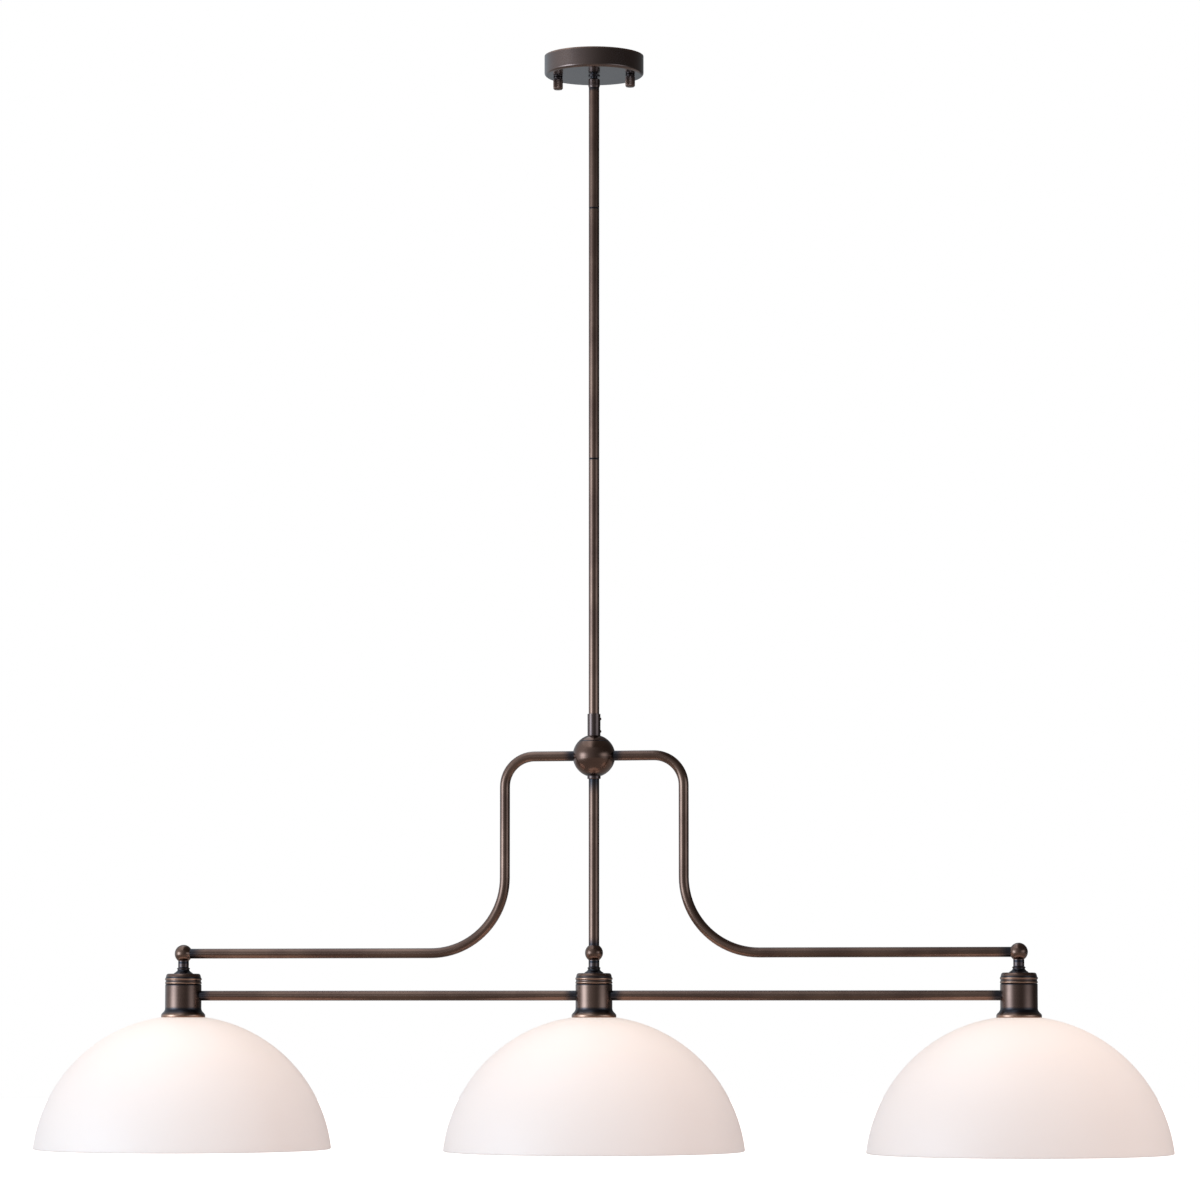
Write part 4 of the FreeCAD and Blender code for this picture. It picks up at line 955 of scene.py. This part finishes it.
class PENDANT_OT_sockets(bpy.types.Operator):
    """Ceramic sockets with threaded brass shells, contacts and gaskets"""
    bl_idname = "pendant.sockets"
    bl_label = "Sockets"

    def execute(self, context):
        detail = detail_values()
        low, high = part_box("screw_shells")
        radius = high.x - upright("bulb_base_right")[0].translation.x
        wall = 0.0005
        depth = 0.0006
        rows = [(radius, height) for height in steps(high.z, low.z, 72)]
        rows += [(radius - wall, height) for height in steps(low.z, high.z, 72)]
        thread = rolled_thread(detail.thread_pitch, depth, low.z + 0.001, high.z - 0.001)
        places = at_lights("bulb_base_")
        shells = turned("socket_thread_shells", rows, places, 96, thread)
        settle(shells, "fixture", "brass_shell", "Brass", "screw_shells")
        coat_nodes("Brass", "socket_contacts")
        coat_nodes("Ceramic", "socket_bodies")
        coat_nodes("Gasket", "shade_gaskets")
        return {"FINISHED"}


class PENDANT_OT_wiring(bpy.types.Operator):
    """Cables, wire connectors and the splice block"""
    bl_idname = "pendant.wiring"
    bl_label = "Wiring"

    def execute(self, context):
        coat_nodes("Cable jacket", "supply_cable", "stem_cable", "lamp_cables")
        coat_nodes("Splice block", "splice_block")
        low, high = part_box("supply_connectors")
        reach = (high.z - low.z) / 2
        length = 0.0155
        bore = 0.0011
        rows = [(bore, -0.006), (bore, 0.0), (reach - 0.0003, 0.0), (reach, -0.0003),
                (reach, -0.0019), (reach - 0.0004, -0.0022)]
        rows += [(reach - 0.0005 - 0.0011 * part ** 2, -0.0024 - 0.0121 * part)
                 for part in steps(0.0, 1.0, 8)]
        rows += [(0.0018, 0.0002 - length), (0.0, -length)]
        flutes, depth, tip = 12, 0.0006, 0.0024
        fluted = ridged(flutes, depth, tip)
        lie = Matrix.Translation((high.x - length, 0.0, (low.z + high.z) / 2))
        lie = lie @ Matrix.Rotation(-math.pi / 2, 4, "Y")
        for number, look in enumerate(("Wire connector", "Wire connector", "Green connector")):
            place = Matrix.Rotation(2 * math.pi * number / 3, 4, "Z") @ lie
            cap = turned(f"wire_connector_{number + 1}", rows, [place], 72, fluted, False)
            nodes = () if number else ("supply_connectors",)
            settle(cap, "swivel", "connector_plastic", look, *nodes)
        return {"FINISHED"}


# Stage

def lamp(name, power, colour, place, aim, width, height):
    """A soft box that the camera doesn't see."""
    data = bpy.data.lights.new(name, "AREA")
    data.shape = "RECTANGLE"
    data.size = width
    data.size_y = height
    data.energy = power
    data.color = colour
    box = bpy.data.objects.new(name, data)
    box.location = place
    box.rotation_euler = (Vector(aim) - Vector(place)).to_track_quat("-Z", "Y").to_euler()
    box.visible_camera = False
    box.visible_glossy = False
    bpy.context.scene.collection.objects.link(box)


def gloss_only(name, build):
    """A soft glowing card that only shiny surfaces reflect. Its nodes, shader and axes."""
    card = new_object(name, build)
    made, tree, shader = new_finish(name, Roughness=1.0, Emission_Strength=CARD_STRENGTH)
    feed(tree, shader, {"Base Color": BLACK})
    card.data.materials.append(made)
    card.visible_camera = False
    card.visible_diffuse = False
    card.visible_shadow = False
    card.visible_transmission = False
    return tree, shader, axes(tree)


def shades_of_light(tree, factor, stops):
    """A colour along a row of stops, each a position, a brightness and a coolness."""
    ramp = add(tree, "ShaderNodeValToRGB", {0: factor})
    row = ramp.color_ramp
    row.interpolation = "B_SPLINE"
    while len(row.elements) > 1:
        row.elements.remove(row.elements[-1])
    for number, (position, bright, cool) in enumerate(stops):
        stop = row.elements[0] if number == 0 else row.elements.new(position)
        stop.position = position
        part = bright / CARD_STRENGTH
        stop.color = (part, part * (1.0 + 0.28 * cool), part * (1.0 + 0.55 * cool), 1.0)
    return ramp.outputs["Color"]


def wall_stops(level):
    """The stops of the walls' light at one level, all the way round."""
    stops = []
    for degrees in steps(-180.0, 180.0, 30):
        bright, cold = WALL_LEVEL, 0.0
        for centre, width, *strengths, cool in SOFT_BOXES:
            away = (degrees - centre + 180.0) % 360.0 - 180.0
            part = strengths[level] * math.exp(-(away / width) ** 2)
            bright += part
            cold += part * cool
        stops.append(((degrees + 180.0) / 360.0, bright, cold / bright))
    return stops


def surround(name, floor_height):
    """The walls round the studio, with the light of their soft boxes."""
    build = bmesh.new()
    columns = []
    for angle in steps(-math.pi, math.pi, 96)[:-1]:
        x, y = STUDIO_RADIUS * math.sin(angle), -STUDIO_RADIUS * math.cos(angle)
        columns.append([build.verts.new((x, y, height)) for height in (floor_height, STUDIO_TOP)])
    for left, right in zip(columns, columns[1:] + columns[:1]):
        build.faces.new((left[0], right[0], right[1], left[1]))
    tree, shader, apart = gloss_only(name, build)
    turn = maths(tree, "ARCTAN2", apart["X"], product(tree, apart["Y"], -1.0))
    round_about = spread(tree, turn, -math.pi, math.pi, kind="LINEAR")
    foot, middle, top = [shades_of_light(tree, round_about, wall_stops(level))
                         for level in range(3)]
    lower = blend(tree, spread(tree, apart["Z"], *FOOT_FADE), foot, middle)
    light = blend(tree, spread(tree, apart["Z"], *TOP_FADE), lower, top)
    feed(tree, shader, {"Emission Color": light})


def level_card(name, height, stops):
    """A round card over or under the object. Its brightness changes from left to right."""
    build = bmesh.new()
    bmesh.ops.create_circle(build, cap_ends=True, segments=64, radius=STUDIO_RADIUS,
                            matrix=Matrix.Translation((0.0, 0.0, height)))
    tree, shader, apart = gloss_only(name, build)
    across = spread(tree, apart["X"], -CARD_REACH, CARD_REACH, kind="LINEAR")
    feed(tree, shader, {"Emission Color": shades_of_light(tree, across, stops)})


def seen_directly(tree):
    """1 for rays from the camera, from gloss and through glass, and 0 for the rest."""
    path = add(tree, "ShaderNodeLightPath")
    either = maths(tree, "MAXIMUM", path.outputs["Is Camera Ray"], path.outputs["Is Glossy Ray"])
    return maths(tree, "MAXIMUM", either, path.outputs["Is Transmission Ray"])


def lay_floor(height):
    """A pale floor, clear from below. It glows only where it is seen, also in gloss and glass."""
    build = bmesh.new()
    bmesh.ops.create_circle(build, cap_ends=True, segments=96, radius=FLOOR_RADIUS)
    floor = new_object("floor", build)
    floor.location = (0.0, 0.0, height)
    made, tree, shader = new_finish("Floor", Roughness=0.9, Emission_Strength=1.0)
    away = add(tree, "ShaderNodeVectorMath", {0: on_object(tree)}, operation="LENGTH")
    far = spread(tree, away.outputs["Value"], *FLOOR_FADE)
    lit = blend(tree, far, FLOOR_TINT, WHITE)
    light = blend(tree, seen_directly(tree), BLACK, lit)
    facing = add(tree, "ShaderNodeNewGeometry")
    clear = maths(tree, "SUBTRACT", 1.0, facing.outputs["Backfacing"])
    feed(tree, shader, {"Base Color": FLOOR_GREY, "Emission Color": light, "Alpha": clear})
    floor.data.materials.append(made)


def light_room(studio):
    """An even tinted light from all round, which looks white where it is seen."""
    world = bpy.data.worlds.new("Room")
    world.use_nodes = True
    tree = world.node_tree
    tree.nodes.clear()
    tint = solid([part * studio.room_light for part in studio.room_tint])
    sky = blend(tree, seen_directly(tree), tint, WHITE)
    background = add(tree, "ShaderNodeBackground", {"Color": sky, "Strength": 1.0})
    add(tree, "ShaderNodeOutputWorld", {"Surface": background.outputs[0]})
    bpy.context.scene.world = world


def place_camera(scene):
    data = bpy.data.cameras.new("view")
    data.sensor_width = SENSOR_WIDTH
    data.lens = LENS
    data.shift_y = LENS_SHIFT
    camera = bpy.data.objects.new("view", data)
    camera.location = CAMERA_PLACE
    camera.rotation_euler = [math.radians(turn) for turn in CAMERA_TURN]
    scene.collection.objects.link(camera)
    scene.camera = camera


class PENDANT_OT_stage(bpy.types.Operator):
    """Pale floor, soft boxes, cards, room light and camera"""
    bl_idname = "pendant.stage"
    bl_label = "Stage"

    def execute(self, context):
        studio = studio_values()
        lay_floor(studio.floor_height)
        light_room(studio)
        lamp("key_box", studio.key_power, *LAMPS["key_box"])
        lamp("fill_box", studio.fill_power, *LAMPS["fill_box"])
        lamp("top_box", studio.top_power, *LAMPS["top_box"])
        surround("soft_walls", studio.floor_height)
        level_card("ceiling_card", STUDIO_TOP, CEILING_GLOSS)
        level_card("floor_card", studio.floor_height + CARD_LIFT, FLOOR_GLOSS)
        place_camera(context.scene)
        context.scene.view_settings.view_transform = "Standard"
        return {"FINISHED"}


STEPS = (
    PENDANT_OT_bronze_frame,
    PENDANT_OT_cups,
    PENDANT_OT_necks,
    PENDANT_OT_ceiling_parts,
    PENDANT_OT_cap_nuts,
    PENDANT_OT_set_screws,
    PENDANT_OT_shades,
    PENDANT_OT_retainer_rings,
    PENDANT_OT_bulbs,
    PENDANT_OT_sockets,
    PENDANT_OT_wiring,
    PENDANT_OT_stage,
)


class PENDANT_PT_panel(bpy.types.Panel):
    """Lists the pieces and their values"""
    bl_idname = "PENDANT_PT_panel"
    bl_label = "Island pendant"
    bl_space_type = "VIEW_3D"
    bl_region_type = "UI"
    bl_category = "Pendant"

    def draw(self, context):
        for operator in STEPS:
            self.layout.operator(operator.bl_idname)
        for group in (finish_values(), detail_values(), studio_values()):
            column = self.layout.column()
            for name in group.bl_rna.properties.keys():
                if name not in ("rna_type", "name"):
                    column.prop(group, name)


CLASSES = (PendantFinish, PendantDetail, PendantStudio, *STEPS, PENDANT_PT_panel)
GROUPS = {
    "pendant_finish": PendantFinish,
    "pendant_detail": PendantDetail,
    "pendant_studio": PendantStudio,
}


def register():
    for item in CLASSES:
        bpy.utils.register_class(item)
    for name, group in GROUPS.items():
        setattr(bpy.types.Scene, name, PointerProperty(type=group))


def unregister():
    for name in GROUPS:
        delattr(bpy.types.Scene, name)
    for item in reversed(CLASSES):
        bpy.utils.unregister_class(item)


def main():
    register()
    bpy.ops.pendant.bronze_frame()
    bpy.ops.pendant.cups()
    bpy.ops.pendant.necks()
    bpy.ops.pendant.ceiling_parts()
    bpy.ops.pendant.cap_nuts()
    bpy.ops.pendant.set_screws()
    bpy.ops.pendant.shades()
    bpy.ops.pendant.retainer_rings()
    bpy.ops.pendant.bulbs()
    bpy.ops.pendant.sockets()
    bpy.ops.pendant.wiring()
    bpy.ops.pendant.stage()


if __name__ == "__main__":
    main()
